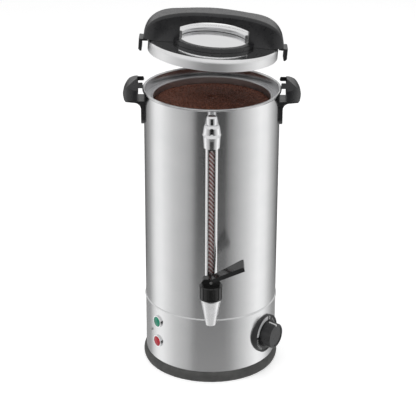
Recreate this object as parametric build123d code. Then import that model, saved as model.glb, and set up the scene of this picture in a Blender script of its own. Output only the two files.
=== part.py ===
"""Electric coffee urn: a double-walled steel body with a tap, a sight gauge, a thermostat and a lift-off lid.

Millimetres. The origin is the centre of the base on the table, +Z is up and the tap faces -Y.
A bearing is the angle around the body from the tap, positive towards +X.
"""

from build123d import *
import math
import os

# ---- fits ----
SLIP = 0.3  # gap left between pieces that lift apart or swing past each other
SNUG = 0.05  # gap round a screw, pin or plug in its hole
RUNNING = 0.06  # radial gap of a shaft that turns or slides in its bore
PRESS = 0.02  # radial gap of a shaft that is held fast in its bore

# ---- body ----
SHELL_R = 115.0  # outside of the body
SHELL_WALL = 1.0
RIM_Z = 502.0  # top of the rolled rim
RIM_BEAD = 2.2  # half thickness of the rolled rim
RIM_OVERHANG = 2.5  # how far the rolled rim stands out of the body
JOINT_Z = 120.0  # the bead where the body meets the base skirt
JOINT_BEAD = 1.4
JOGGLE_DEPTH = 8.0  # how far the body tucks into the skirt

# ---- pot ----
POT_INSET = 13.5  # from the body's outside to the pot's inside
POT_R = SHELL_R - POT_INSET  # inside of the pot
POT_WALL = 0.8
POT_FLOOR_Z = 138.0
POT_CORNER = 12.0
LEDGE_Z = 484.6  # the ledge that carries the basket
WELL_R = 30.0  # the well that the pump stands in
WELL_DEPTH = 15.0

# ---- base ----
BASE_FLARE = 4.0  # how far the base ring stands out of the body
BASE_RING_H = 18.3
BASE_RING_LIP = 1.0  # the part of the ring that laps the skirt
SKIRT_SEAT_Z = 14.0
COVER_SEAT_Z = 8.0
COVER_T = 1.0
COVER_LAP = 7.0  # how far the cover laps its seat
RING_FOOT_W = 8.0  # width of the ring's flat underside
PAD_R = 3.0
PAD_T = 2.5
VENT_SLOTS = 16
VENT_L = 26.0
VENT_W = 4.0
VENT_R = 70.0

# ---- screws ----
SMALL_SCREW_R = 1.5
LARGE_SCREW_R = 2.0
HEAD_RATIO = 1.9  # screw head radius over shank radius
HEAD_H = 2.2
COVER_SCREWS = 4
SKIRT_SCREW_Z = 70.0
SKIRT_SCREW_BEARINGS = (-64.0, 116.0)
EAR_T = 4.0  # the base ring's two ears that take the skirt screws
EAR_HALF_ANGLE = 3.0

# ---- side handles ----
HANDLE_REACH = 35.0  # how far the grip stands out of the body
HANDLE_TOP_Z = 520.0
GRIP_UNDER_Z = 479.0
HANDLE_HALF_W = 27.0
GRIP_CROWN = 19.0  # how far the grip's top drops towards its ends
GRIP_HEEL = 6.0  # how far its underside rises there
STEM_HALF_W = 19.0
STEM_T = 4.4
STEM_BOTTOM_Z = 439.0
GRIP_CORNER = 22.0
NECK_H = 12.0  # the curved step from the grip to its stem
GRIP_WALL = 4.0
HANDLE_SCREW_Z = 475.0
HANDLE_SCREW_Y = 11.0
HANDLE_SCREW_DEPTH = 6.0

# ---- lid ----
LID_CLEARANCE = 4.4  # round the closed lid in the body's mouth
LID_R = SHELL_R - SHELL_WALL - POT_WALL - LID_CLEARANCE
LID_WALL = 1.0
LID_DEPTH = 19.0
LID_SEAT_GAP = 3.4  # height of the closed lid's edge over the ledge
LID_EDGE_R = 6.0
LID_HEM_W = 9.0  # the lid's edge turned inwards to rest on the basket's rim
LIFT_ARM = 1075.0  # distance of the line that the raised lid turns about
LIFT_ARM_Z = 515.0
LIFT_LINE_BEARING = 95.0  # direction of that line, from +X towards +Y
LID_RAISED = 4.0  # degrees from closed to the raised rest pose
LOCK_TURN = 13.0  # degrees that the lid handle turns each way

# ---- lid handle ----
LH_RING_R = 64.0  # middle of the flange ring
LH_RING_W = 12.0
LH_RING_T = 7.0
LH_TOP = 52.0  # height over the lid
LH_HOLE_HALF = 57.0
LH_HOLE_TOP = 37.0
LH_HOLE_SHOULDER = 26.0
LH_HALF_DEPTH = 22.0
LH_LEG_HALF_DEPTH = 24.0
LH_OVERHANG = 8.0  # how far the arch's ends stand out over the lid's edge
LH_END_X = LID_R + LH_OVERHANG
LH_EDGE_R = 5.0
LOBE_GAP = 0.8  # between the lobes and the rolled rim
LOBE_IN = SHELL_R + RIM_OVERHANG + LOBE_GAP
LOBE_T = 5.7
LOBE_PLAY = 1.6  # round a lobe in the side handle's slot
LOBE_FOOT_PLAY = 4.0  # under a closed lobe
LOBE_LEAD = 3.0  # bevel that leads a lobe into its slot
LOBE_DROP = 21.0
LOBE_HALF_ANGLE = 7.2
TONGUE_T = 3.2

# ---- basket, pump and charge ----
BASKET_CLEARANCE = 1.0
BASKET_R = POT_R - BASKET_CLEARANCE
BASKET_WALL = 0.8
BASKET_BEAD = 1.5
BASKET_DEPTH = 88.0
BASKET_HOLES = 18  # in each ring
BASKET_HOLE_R = 2.5
BASKET_HOLE_RINGS = (30.0, 52.0, 74.0)
HUB_R = 9.0
HUB_H = 40.0
TUBE_R = 6.0
TUBE_WALL = 0.9
TUBE_TOP_Z = 478.0
TUBE_COLLAR_R = 10.5
TUBE_COLLAR_H = 4.0
BELL_R = 26.0
BELL_H = 26.0
BELL_WALL = 1.2
BELL_FOOT_H = 3.0
BELL_INLET_R = 9.0
BELL_NOTCHES = 6
VALVE_R = 15.0
VALVE_T = 1.6
GROUNDS_EDGE_Z = 476.5
GROUNDS_TOP_Z = 484.0
GROUNDS_GAP = 0.3

# ---- heater ----
SPREADER_IN = 36.0
SPREADER_OUT = POT_R - POT_CORNER - 1.5
SPREADER_T = 4.0
ELEMENT_R = 62.0
ELEMENT_TUBE_R = 4.0
ELEMENT_SWEEP = 310.0
ELEMENT_LEG = 20.0
ELEMENT_PIN_R = 1.8
ELEMENT_PIN_L = 10.0
CUTOUT_R = 8.5
CUTOUT_H = 6.0
CUTOUT_BEARING = 200.0
CUTOUT_AT_R = 76.0

# ---- thermostat ----
DIAL_BEARING = 56.0
DIAL_Z = 70.0
BEZEL_R = 34.0
BEZEL_FACE = 2.6  # dial face over the body
BEZEL_RIM_W = 2.0
BEZEL_RIM_H = 1.0
KNOB_R = 23.5
KNOB_TAPER = 1.8
KNOB_L = 18.5
KNOB_GAP = 1.0
KNOB_WALL = 2.2
KNOB_BOSS_R = 6.0
KNOB_EDGE_R = 1.5
KNOB_FACE_RIM = 3.5
KNOB_FACE_DISH = 0.8
KNOB_FACE_T = 4.0
POINTER_W = 3.0
POINTER_T = 1.2
POINTER_PROUD = 0.4
POINTER_START = 4.0  # from the knob's back
SPINDLE_R = 3.0
SPINDLE_GRIP = 11.0  # how far the spindle reaches into the knob
SPINDLE_SEAT = 10.0  # how far it reaches into the thermostat
STAT_W = 38.0
STAT_DEPTH = 22.0
STAT_BUSH_R = 5.5
STAT_SCREW_SPACING = 28.0
BULB_R = 3.0
BULB_L = 70.0
BULB_BEARING = 100.0
CAPILLARY_R = 1.0

# ---- lamps ----
LAMP_BEARING = -53.0
GREEN_Z = 93.7
RED_Z = 55.8
LENS_R = 9.0
LENS_T = 1.6
LENS_DOME = 2.0
LENS_STAND = 1.2  # lens back over the body
LAMP_BEZEL_W = 1.8
LAMP_BEZEL_H = 2.6
SOCKET_R = 7.0
SOCKET_L = 24.0
SOCKET_NUT_R = 9.5
SOCKET_NUT_T = 4.0

# ---- power inlet ----
INLET_Z = 60.0
INLET_W = 27.0
INLET_H = 20.0
INLET_DEPTH = 24.0
INLET_RECESS_W = 24.0
INLET_RECESS_H = 16.0
INLET_RECESS_DEPTH = 17.0
INLET_FLANGE_W = 50.0
INLET_FLANGE_H = 26.0
INLET_FLANGE_STAND = 3.5
INLET_SCREW_SPACING = 40.0
PIN_W = 4.0
PIN_T = 2.0
PIN_L = 12.0
PIN_PITCH = 7.0
PIN_TAIL = 8.0
BLOCK_L = 40.0
BLOCK_W = 18.0
BLOCK_H = 14.0
BLOCK_Y = 55.0

# ---- tap ----
TAP_REACH = 46.5  # from the body to the middle of the spout
TAP_Y = -(SHELL_R + TAP_REACH)
SHANK_Z = 169.0
SHANK_R = 9.5
SHANK_BORE_R = 5.5
SHANK_FLANGE_R = 13.5
SHANK_FLANGE_T = 3.0
SHANK_END = 6.0  # how far the shank reaches into the pot
WASHER_T = 1.5
NUT_T = 4.0
NUT_ACROSS = 27.0
SPOUT_Z = 137.0
SPOUT_TIP_R = 8.5
SPOUT_TOP_R = 17.5
SPOUT_TOP_Z = 186.0
SPOUT_BORE_R = 6.0
SEAT_Z = 153.0
CHAMBER_R = 11.5
BONNET_R = 19.6
BONNET_TOP_Z = 210.5
BONNET_ROOF = 5.5
BONNET_RIBS = 14
BONNET_FLUTE_R = 1.7
STEM_R = 2.5
CUP_R = 9.0
CUP_H = 9.0
EYE_W = 8.0
EYE_T = 5.0
PIN_R = 1.5
CAM_R = 6.2
CAM_OFFSET = 9.0
LEVER_RISE = 28.0  # degrees over level at rest
LEVER_L = 61.0
LEVER_ROOT_HALF = 7.5
LEVER_TIP_HALF = 16.5
LEVER_ROOT_T = 10.0
LEVER_TIP_T = 8.0
SPRING_R = 6.0
SPRING_WIRE_R = 0.6
SPRING_TURNS = 6

# ---- sight gauge ----
GAUGE_STAND = 16.5  # from the body to the middle of the glass
GAUGE_Y = -(SHELL_R + GAUGE_STAND)
GAUGE_FOOT_Z = 190.0
SHIELD_W = 20.5
SHIELD_DEPTH = 18.0
SHIELD_WALL = 1.0
SHIELD_EDGE_R = 6.0
SHIELD_TOP_Z = 443.0
SHIELD_FRONT = 9.5  # front face over the gauge's middle
WINDOW_W = 8.4
WINDOW_FOOT_Z = 219.0
WINDOW_TOP_MARGIN = 3.0
GLASS_R = 5.0
GLASS_WALL = 1.1
GLASS_SOCKET = 5.0  # how deep the glass sits in the foot and head
SEAL_T = 2.0
STRIPE_T = 0.6
TEE_R = 10.0
HEAD_COLLAR_R = 13.9
HEAD_FLARE_R = 15.5
HEAD_TOP_R = 12.0
HEAD_COLLAR_H = 14.0
HEAD_H_ALL = 39.0
HEAD_SLOT_W = 4.8
HEAD_SLOT_H = 12.0
PLUG_R = 8.6
PLUG_H = 15.5
ARM_R = 6.0
ARM_FLANGE_R = 10.0
ARM_FLANGE_T = 3.0
STUD_R = 4.0
STUD_NUT_T = 4.0
STUD_NUT_R = 7.0

# ---- worked out ----
INNER_R = SHELL_R - SHELL_WALL
FLOOR_CENTRED = (Align.CENTER, Align.CENTER, Align.MIN)
BEAD_Z = RIM_Z - RIM_BEAD
BEAD_R = SHELL_R + RIM_OVERHANG - RIM_BEAD
SHELL_TOP_Z = RIM_Z - 2 * RIM_BEAD - 0.1
SKIRT_TOP_Z = JOINT_Z + JOINT_BEAD
LID_FOOT_Z = LEDGE_Z + LID_SEAT_GAP
LID_TOP_Z = LID_FOOT_Z + LID_DEPTH
BASKET_RIM_Z = LEDGE_Z + SLIP + 2 * BASKET_BEAD
BASKET_FLOOR_Z = BASKET_RIM_Z - BASKET_DEPTH
WELL_FLOOR_Z = POT_FLOOR_Z - WELL_DEPTH
TAP = (0.0, TAP_Y)
GAUGE = (0.0, GAUGE_Y)
PIVOT_Z = BONNET_TOP_Z + SLIP + CAM_R
STAT_FACE = math.sqrt(INNER_R**2 - (STAT_W / 2) ** 2) - 0.1
DIAL_FACE = SHELL_R + BEZEL_FACE
KNOB_BACK = DIAL_FACE + BEZEL_RIM_H + KNOB_GAP
HEAD_Z = SHIELD_TOP_Z
ARM_Z = HEAD_Z + HEAD_COLLAR_H + ARM_R + 3.0


# ---- shared shapes ----
def bar(radius, z0, z1, at=(0.0, 0.0)):
    """An upright round bar."""
    return Pos(at[0], at[1], z0) * Cylinder(radius, z1 - z0, align=FLOOR_CENTRED)


def ring(r_in, r_out, z0, z1, at=(0.0, 0.0)):
    """An upright ring."""
    return bar(r_out, z0, z1, at) - bar(r_in, z0, z1, at)


def turned(*points, at=(0.0, 0.0)):
    """A body of revolution about an upright line from its (radius, height) outline."""
    outline = Plane.XZ * make_face(Polyline(*points, close=True))
    return Pos(at[0], at[1], 0) * revolve(outline, Axis.Z)


def torus_ring(radius, minor, z):
    """A round-section ring about the body's axis."""
    return revolve(Plane.XZ * Pos(radius, z) * Circle(minor), Axis.Z)


def wall_plane(bearing, height, radius=0.0):
    """A plane across a radial line: local X runs to the right, Y up and Z outwards."""
    a = math.radians(bearing)
    out = (math.sin(a), -math.cos(a), 0.0)
    origin = (out[0] * radius, out[1] * radius, height)
    return Plane(origin=origin, x_dir=(math.cos(a), math.sin(a), 0.0), z_dir=out)


def radial_bar(bearing, height, radius, near, far, x=0.0, y=0.0):
    """A round bar along a radial line, from one distance off the axis to another."""
    bar_shape = Pos(x, y, near) * Cylinder(radius, far - near, align=FLOOR_CENTRED)
    return wall_plane(bearing, height) * bar_shape


def radial_box(bearing, height, width, tall, near, far, x=0.0, y=0.0):
    box = Pos(x, y, near) * Box(width, tall, far - near, align=FLOOR_CENTRED)
    return wall_plane(bearing, height) * box


def inside_body(radius):
    """Everything within a radius of the body's axis, to trim a piece to a round wall."""
    return bar(radius, -50, RIM_Z + 100)


def screw(shank_r, length):
    """A pan-head screw with a straight slot, standing on its head, shank up."""
    head = Cylinder(shank_r * HEAD_RATIO, HEAD_H, align=FLOOR_CENTRED)
    slot = Box(shank_r * 3.2, shank_r * 0.5, HEAD_H * 0.4, align=FLOOR_CENTRED)
    shank = Pos(0, 0, HEAD_H) * Cylinder(shank_r, length, align=FLOOR_CENTRED)
    return head - slot + shank


def sector(r_in, r_out, z0, z1, half_angle, bearing_from_x=0.0):
    """A block of a ring, centred on a direction from +X."""
    outline = Plane.XZ * Pos((r_in + r_out) / 2, (z0 + z1) / 2) * Rectangle(r_out - r_in, z1 - z0)
    block = revolve(outline, Axis.Z, revolution_arc=2 * half_angle)
    return Rot(0, 0, bearing_from_x - half_angle) * block


def hexagon_nut(across, thick, bore_r):
    """A hexagon nut lying flat on its plane."""
    blank = extrude(RegularPolygon(across / 2, 6, major_radius=False), thick)
    return blank - Cylinder(bore_r, thick, align=FLOOR_CENTRED)


# ---- body ----
def make_outer_shell():
    foot_r = INNER_R - SNUG
    shell = turned(
        (foot_r - SHELL_WALL, SKIRT_TOP_Z - JOGGLE_DEPTH),
        (foot_r, SKIRT_TOP_Z - JOGGLE_DEPTH),
        (foot_r, SKIRT_TOP_Z),
        (SHELL_R, SKIRT_TOP_Z),
        (SHELL_R, SHELL_TOP_Z),
        (INNER_R, SHELL_TOP_Z),
        (INNER_R, SKIRT_TOP_Z + 2 * SHELL_WALL),
        (foot_r - SHELL_WALL, SKIRT_TOP_Z + SHELL_WALL),
    )
    shell -= radial_bar(0, SHANK_Z, SHANK_R + SLIP, INNER_R - 10, SHELL_R + 5)
    shell -= radial_bar(0, ARM_Z, STUD_R + SLIP, INNER_R - 10, SHELL_R + 5)
    for side in (-1, 1):
        for y in (-HANDLE_SCREW_Y, HANDLE_SCREW_Y):
            hole = Pos(side * SHELL_R, y, HANDLE_SCREW_Z) * Rot(0, 90, 0)
            shell -= hole * Cylinder(LARGE_SCREW_R + SLIP, 20)
    return shell


def make_rim_ring():
    """The collar that stands on the ledge, rolled out over the top edge of the body."""
    collar_r = INNER_R - SNUG
    collar = ring(collar_r - SHELL_WALL, collar_r, LEDGE_Z, BEAD_Z)
    return collar + torus_ring(BEAD_R, RIM_BEAD, BEAD_Z)


def make_base_skirt():
    outline = make_face(
        [
            Polyline(
                (SHELL_R, JOINT_Z - JOINT_BEAD),
                (SHELL_R, SKIRT_SEAT_Z),
                (INNER_R, SKIRT_SEAT_Z),
                (INNER_R, SKIRT_TOP_Z),
                (SHELL_R, SKIRT_TOP_Z),
            ),
            ThreePointArc(
                (SHELL_R, SKIRT_TOP_Z), (SHELL_R + JOINT_BEAD, JOINT_Z), (SHELL_R, JOINT_Z - JOINT_BEAD)
            ),
        ]
    )
    skirt = revolve(Plane.XZ * outline, Axis.Z)
    near, far = INNER_R - 12, SHELL_R + 5
    for z in (GREEN_Z, RED_Z):
        skirt -= radial_bar(LAMP_BEARING, z, SOCKET_R + SNUG, near, far)
    skirt -= radial_bar(DIAL_BEARING, DIAL_Z, STAT_BUSH_R + SLIP, near, far)
    for x in (-1, 1):
        offset = x * STAT_SCREW_SPACING / 2
        skirt -= radial_bar(DIAL_BEARING, DIAL_Z, SMALL_SCREW_R + SNUG, near, far, x=offset)
        offset = x * INLET_SCREW_SPACING / 2
        skirt -= radial_bar(180, INLET_Z, SMALL_SCREW_R + SNUG, near, far, x=offset)
    for bearing in SKIRT_SCREW_BEARINGS:
        skirt -= radial_bar(bearing, SKIRT_SCREW_Z, SMALL_SCREW_R + SNUG, near, far)
    return skirt - radial_box(180, INLET_Z, INLET_W + SLIP, INLET_H + SLIP, near, far)


def make_skirt_screws():
    """Two screws through the skirt into the base ring's ears."""
    group = []
    for bearing in SKIRT_SCREW_BEARINGS:
        outside = wall_plane(bearing, SKIRT_SCREW_Z, SHELL_R + HEAD_H)
        group.append(outside * Rot(0, 180, 0) * screw(SMALL_SCREW_R, SHELL_WALL + EAR_T))
    return group


# ---- pot ----
def pot_form(spread):
    """The pot's solid form, grown outwards by the wall."""
    tub = bar(POT_R + spread, POT_FLOOR_Z - spread, LEDGE_Z)
    tub = fillet(tub.edges().sort_by(Axis.Z)[0], POT_CORNER + spread)
    well = bar(WELL_R + spread, WELL_FLOOR_Z - spread, POT_FLOOR_Z)
    well = fillet(well.edges().sort_by(Axis.Z)[0], POT_CORNER / 3 + spread)
    return tub + well


def make_inner_pot():
    pot = pot_form(POT_WALL) - pot_form(0.0)
    pot += ring(POT_R, INNER_R - SNUG, LEDGE_Z - POT_WALL, LEDGE_Z)
    return pot - radial_bar(0, SHANK_Z, SHANK_R + SLIP, POT_R - 8, POT_R + 8)


# ---- base ----
def make_base_ring():
    lip_r = SHELL_R + SNUG
    foot_out = SHELL_R + BASE_FLARE * 0.45
    foot_in = foot_out - RING_FOOT_W
    outline = make_face(
        [
            Polyline(
                (foot_out, 0),
                (foot_in, 0),
                (foot_in, COVER_SEAT_Z),
                (foot_in - COVER_LAP, COVER_SEAT_Z),
                (foot_in - COVER_LAP, SKIRT_SEAT_Z),
                (lip_r, SKIRT_SEAT_Z),
                (lip_r, BASE_RING_H),
                (lip_r + BASE_RING_LIP, BASE_RING_H),
            ),
            ThreePointArc(
                (lip_r + BASE_RING_LIP, BASE_RING_H),
                (SHELL_R + BASE_FLARE, BASE_RING_H * 0.3),
                (foot_out, 0),
            ),
        ]
    )
    base = revolve(Plane.XZ * outline, Axis.Z)
    ear_r = INNER_R - SNUG
    for bearing in SKIRT_SCREW_BEARINGS:
        top = SKIRT_SCREW_Z + 3 * SMALL_SCREW_R
        base += sector(ear_r - EAR_T, ear_r, SKIRT_SEAT_Z - 1, top, EAR_HALF_ANGLE, bearing - 90)
        base -= radial_bar(bearing, SKIRT_SCREW_Z, SMALL_SCREW_R + SNUG, ear_r - 2 * EAR_T, SHELL_R)
    for spot in pad_spots():
        base -= Pos(spot.X, spot.Y, 0) * Cylinder(PAD_R + SNUG, PAD_T, align=FLOOR_CENTRED)
    for spot in cover_screw_spots():
        base -= bar(SMALL_SCREW_R + SNUG, COVER_SEAT_Z, SKIRT_SEAT_Z - 1, (spot.X, spot.Y))
    return base


def pad_spots():
    radius = SHELL_R + BASE_FLARE * 0.45 - RING_FOOT_W / 2
    return [Vector(radius, 0).rotate(Axis.Z, 45 + 90 * n) for n in range(4)]


def cover_screw_spots():
    radius = SHELL_R + BASE_FLARE * 0.45 - RING_FOOT_W - COVER_LAP / 2
    step = 360 / COVER_SCREWS
    return [Vector(radius, 0).rotate(Axis.Z, step * n) for n in range(COVER_SCREWS)]


def make_rubber_pads():
    return [bar(PAD_R, 0, PAD_T, (spot.X, spot.Y)) for spot in pad_spots()]


def make_bottom_cover():
    radius = SHELL_R + BASE_FLARE * 0.45 - RING_FOOT_W - SLIP
    cover = bar(radius, COVER_SEAT_Z - COVER_T, COVER_SEAT_Z)
    slot = Pos(VENT_R, 0, COVER_SEAT_Z) * Box(VENT_L, VENT_W, 4 * COVER_T)
    for n in range(VENT_SLOTS):
        cover -= Rot(0, 0, (n + 0.5) * 360 / VENT_SLOTS) * slot
    for spot in cover_screw_spots():
        cover -= bar(SMALL_SCREW_R + SNUG, 0, 20, (spot.X, spot.Y))
    return cover


def make_bottom_screws():
    z = COVER_SEAT_Z - COVER_T - HEAD_H
    return [Pos(spot.X, spot.Y, z) * screw(SMALL_SCREW_R, COVER_T + 4.0) for spot in cover_screw_spots()]


# ---- heater ----
def make_heat_spreader():
    top = POT_FLOOR_Z - POT_WALL
    return ring(SPREADER_IN, SPREADER_OUT, top - SPREADER_T, top)


def make_heating_element():
    """A bent tube under the spreader, its two ends turned down to the terminal pins."""
    z = POT_FLOOR_Z - POT_WALL - SPREADER_T - ELEMENT_TUBE_R - SNUG
    start = 90 - (360 - ELEMENT_SWEEP) / 2
    profile = Plane.XZ * Pos(ELEMENT_R, z) * Circle(ELEMENT_TUBE_R)
    element = Rot(0, 0, start - ELEMENT_SWEEP) * revolve(profile, Axis.Z, revolution_arc=ELEMENT_SWEEP)
    for angle in (start, start - ELEMENT_SWEEP):
        end = Vector(ELEMENT_R, 0).rotate(Axis.Z, angle)
        at = (end.X, end.Y)
        element += Pos(end.X, end.Y, z) * Sphere(ELEMENT_TUBE_R)
        element += bar(ELEMENT_TUBE_R, z - ELEMENT_LEG, z, at)
        element += bar(ELEMENT_PIN_R, z - ELEMENT_LEG - ELEMENT_PIN_L, z - ELEMENT_LEG, at)
    return element


def make_thermal_cutout():
    """A round bimetal switch held flat under the spreader, with two blade terminals."""
    top = POT_FLOOR_Z - POT_WALL - SPREADER_T - SNUG
    spot = Vector(CUTOUT_AT_R, 0).rotate(Axis.Z, CUTOUT_BEARING)
    can = Cylinder(CUTOUT_R, CUTOUT_H, align=FLOOR_CENTRED)
    for side in (-1, 1):
        can += Pos(side * CUTOUT_R * 0.6, 0, -8) * Box(0.8, 6.3, 8, align=FLOOR_CENTRED)
    return Pos(spot.X, spot.Y, top - CUTOUT_H) * can


# ---- thermostat ----
def make_thermostat_body():
    back = STAT_FACE - STAT_DEPTH
    body = radial_box(DIAL_BEARING, DIAL_Z, STAT_W, STAT_W, back, STAT_FACE)
    outward = Axis((0, 0, 0), wall_plane(DIAL_BEARING, 0).z_dir)
    body = fillet(body.edges().filter_by(outward), 3.0)
    body += radial_bar(DIAL_BEARING, DIAL_Z, STAT_BUSH_R, STAT_FACE, SHELL_R + 0.5)
    near = SHELL_R - SPINDLE_SEAT
    body -= radial_bar(DIAL_BEARING, DIAL_Z, SPINDLE_R + RUNNING, near, SHELL_R + 5)
    for x in (-1, 1):
        offset = x * STAT_SCREW_SPACING / 2
        body -= radial_bar(DIAL_BEARING, DIAL_Z, SMALL_SCREW_R + SNUG, STAT_FACE - 7, STAT_FACE, x=offset)
        blade = radial_box(DIAL_BEARING, DIAL_Z, 0.8, 6.3, back - 8, back, x=x * STAT_W / 4)
        body += blade
    return body


def make_thermostat_screws():
    group = []
    for x in (-1, 1):
        offset = x * STAT_SCREW_SPACING / 2
        seat = math.sqrt(SHELL_R**2 - offset**2) + 0.3
        plane = wall_plane(DIAL_BEARING, DIAL_Z) * Pos(offset, 0, seat + HEAD_H) * Rot(0, 180, 0)
        group.append(plane * screw(SMALL_SCREW_R, seat - STAT_FACE + 6))
    return group


def make_thermostat_sensor():
    """The sensing bulb lies along the pot's outside wall; its capillary runs to the thermostat."""
    bulb_r = POT_R + POT_WALL + BULB_R + SNUG
    a = math.radians(BULB_BEARING)
    spot = (bulb_r * math.sin(a), -bulb_r * math.cos(a))
    foot_z = POT_FLOOR_Z + POT_CORNER
    bulb = bar(BULB_R, foot_z, foot_z + BULB_L, spot)
    inwards = wall_plane(DIAL_BEARING, DIAL_Z + STAT_W * 0.3)
    end = (inwards * Pos(0, 0, STAT_FACE - STAT_DEPTH - SNUG)).position
    bend = (inwards * Pos(0, 0, STAT_FACE - 2 * STAT_DEPTH)).position
    path = FilletPolyline((*spot, foot_z + 1), (*spot, end.Z), bend, end, radius=6)
    capillary = sweep(Plane(origin=path @ 0, z_dir=path % 0) * Circle(CAPILLARY_R), path=path)
    return bulb + capillary


def make_dial_bezel():
    """A flat dial with a raised edge, its back hollowed to lie on the round skirt."""
    bezel = radial_bar(DIAL_BEARING, DIAL_Z, BEZEL_R, SHELL_R - 8, DIAL_FACE + BEZEL_RIM_H)
    bezel -= radial_bar(DIAL_BEARING, DIAL_Z, BEZEL_R - BEZEL_RIM_W, DIAL_FACE, DIAL_FACE + 5)
    bezel -= inside_body(SHELL_R + SNUG)
    bezel -= radial_bar(DIAL_BEARING, DIAL_Z, STAT_BUSH_R + SNUG, SHELL_R - 10, DIAL_FACE + 5)
    for x in (-1, 1):
        offset = x * STAT_SCREW_SPACING / 2
        head_r = SMALL_SCREW_R * HEAD_RATIO + SLIP
        bezel -= radial_bar(DIAL_BEARING, DIAL_Z, head_r, SHELL_R - 10, DIAL_FACE + 5, x=offset)
    return bezel


def make_thermostat_spindle():
    near = SHELL_R - SPINDLE_SEAT + SLIP
    return radial_bar(DIAL_BEARING, DIAL_Z, SPINDLE_R, near, KNOB_BACK + SPINDLE_GRIP)


def knob_form(grow=0.0):
    """The knob's tapered outside, standing on its back, with a rounded front edge."""
    form = Cone(KNOB_R + grow, KNOB_R - KNOB_TAPER + grow, KNOB_L, align=FLOOR_CENTRED)
    return fillet(form.edges().group_by(Axis.Z)[-1], KNOB_EDGE_R)


def pointer_slab(grow=0.0):
    """A thin upright slab that marks out the inlaid line along the top of the knob's side."""
    return Pos(0, KNOB_R, POINTER_START - grow) * Box(
        POINTER_W + 2 * grow, KNOB_R, 2 * KNOB_L, align=FLOOR_CENTRED
    )


def make_knob_pointer():
    line = (knob_form(POINTER_PROUD) - knob_form(-POINTER_T)) & pointer_slab()
    return wall_plane(DIAL_BEARING, DIAL_Z, KNOB_BACK) * line


def make_thermostat_knob():
    knob = knob_form() - (pointer_slab(SNUG) - knob_form(-POINTER_T - SNUG))
    tip_r = KNOB_R - KNOB_TAPER
    knob -= bar(tip_r - KNOB_FACE_RIM, KNOB_L - KNOB_FACE_DISH, KNOB_L + 1)
    knob -= ring(KNOB_BOSS_R, tip_r - POINTER_T - KNOB_WALL, -1, KNOB_L - KNOB_FACE_T)
    knob -= bar(SPINDLE_R + PRESS, -1, SPINDLE_GRIP + SNUG)
    return wall_plane(DIAL_BEARING, DIAL_Z, KNOB_BACK) * knob


# ---- lamps ----
def lamp_heights():
    return (GREEN_Z, RED_Z)


def make_lens(z):
    back = SHELL_R + LENS_STAND
    lens = radial_bar(LAMP_BEARING, z, LENS_R, back, back + LENS_T)
    ball_r = (LENS_R**2 + LENS_DOME**2) / (2 * LENS_DOME)
    front = back + LENS_T
    dome = wall_plane(LAMP_BEARING, z) * Pos(0, 0, front + LENS_DOME - ball_r) * Sphere(ball_r)
    cap = radial_bar(LAMP_BEARING, z, LENS_R, front, front + LENS_DOME + 1)
    return lens + (dome & cap)


def make_lamp_bezels():
    group = []
    for z in lamp_heights():
        outer = radial_bar(LAMP_BEARING, z, LENS_R + SNUG + LAMP_BEZEL_W, SHELL_R - 5, SHELL_R + LAMP_BEZEL_H)
        outer = outer - radial_bar(LAMP_BEARING, z, LENS_R + SNUG, SHELL_R - 6, SHELL_R + 9)
        group.append(outer - inside_body(SHELL_R + SNUG))
    return group


def make_lamp_sockets():
    """The lamp's barrel passes through the skirt and is held by a nut inside."""
    group = []
    front = SHELL_R + LENS_STAND
    for z in lamp_heights():
        barrel = radial_bar(LAMP_BEARING, z, SOCKET_R, front - SOCKET_L, front)
        nut_face = math.sqrt(INNER_R**2 - SOCKET_NUT_R**2) - 0.1
        nut = radial_bar(LAMP_BEARING, z, SOCKET_NUT_R, nut_face - SOCKET_NUT_T, nut_face)
        group.append(barrel + nut)
    return group


# ---- power inlet ----
def make_power_inlet():
    front = SHELL_R + INLET_FLANGE_STAND
    plate = extrude(SlotOverall(INLET_FLANGE_W, INLET_FLANGE_H), INLET_FLANGE_STAND + 8)
    inlet = wall_plane(180, INLET_Z) * Pos(0, 0, SHELL_R - 8) * plate
    inlet -= inside_body(SHELL_R + SNUG)
    inlet += radial_box(180, INLET_Z, INLET_W, INLET_H, front - INLET_DEPTH, front)
    corner = INLET_RECESS_H * 0.3
    half_w, half_h = INLET_RECESS_W / 2, INLET_RECESS_H / 2
    outline = Polyline(
        (-half_w, -half_h),
        (half_w, -half_h),
        (half_w, half_h - corner),
        (half_w - corner, half_h),
        (corner - half_w, half_h),
        (-half_w, half_h - corner),
        close=True,
    )
    recess = extrude(make_face(outline), INLET_RECESS_DEPTH + 1)
    inlet -= wall_plane(180, INLET_Z) * Pos(0, 0, front - INLET_RECESS_DEPTH) * recess
    for x in (-1, 1):
        offset = x * INLET_SCREW_SPACING / 2
        inlet -= radial_bar(180, INLET_Z, SMALL_SCREW_R + SNUG, SHELL_R - 5, front + 5, x=offset)
    for x, y in inlet_pin_spots():
        inlet -= inlet_pin(x, y, SNUG)
    return inlet


def inlet_pin_spots():
    return [(-PIN_PITCH, -2.0), (0.0, 2.0), (PIN_PITCH, -2.0)]


def inlet_pin(x, y, grow=0.0):
    floor = SHELL_R + INLET_FLANGE_STAND - INLET_RECESS_DEPTH
    near = floor - (INLET_DEPTH - INLET_RECESS_DEPTH) - PIN_TAIL
    return radial_box(180, INLET_Z, PIN_T + 2 * grow, PIN_W + 2 * grow, near, floor + PIN_L, x=x, y=y)


def make_inlet_pins():
    return [inlet_pin(x, y) for x, y in inlet_pin_spots()]


def make_inlet_screws():
    group = []
    front = SHELL_R + INLET_FLANGE_STAND + HEAD_H
    for x in (-1, 1):
        offset = x * INLET_SCREW_SPACING / 2
        place = wall_plane(180, INLET_Z) * Pos(offset, 0, front) * Rot(0, 180, 0)
        group.append(place * screw(SMALL_SCREW_R, 12.0))
    return group


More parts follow.
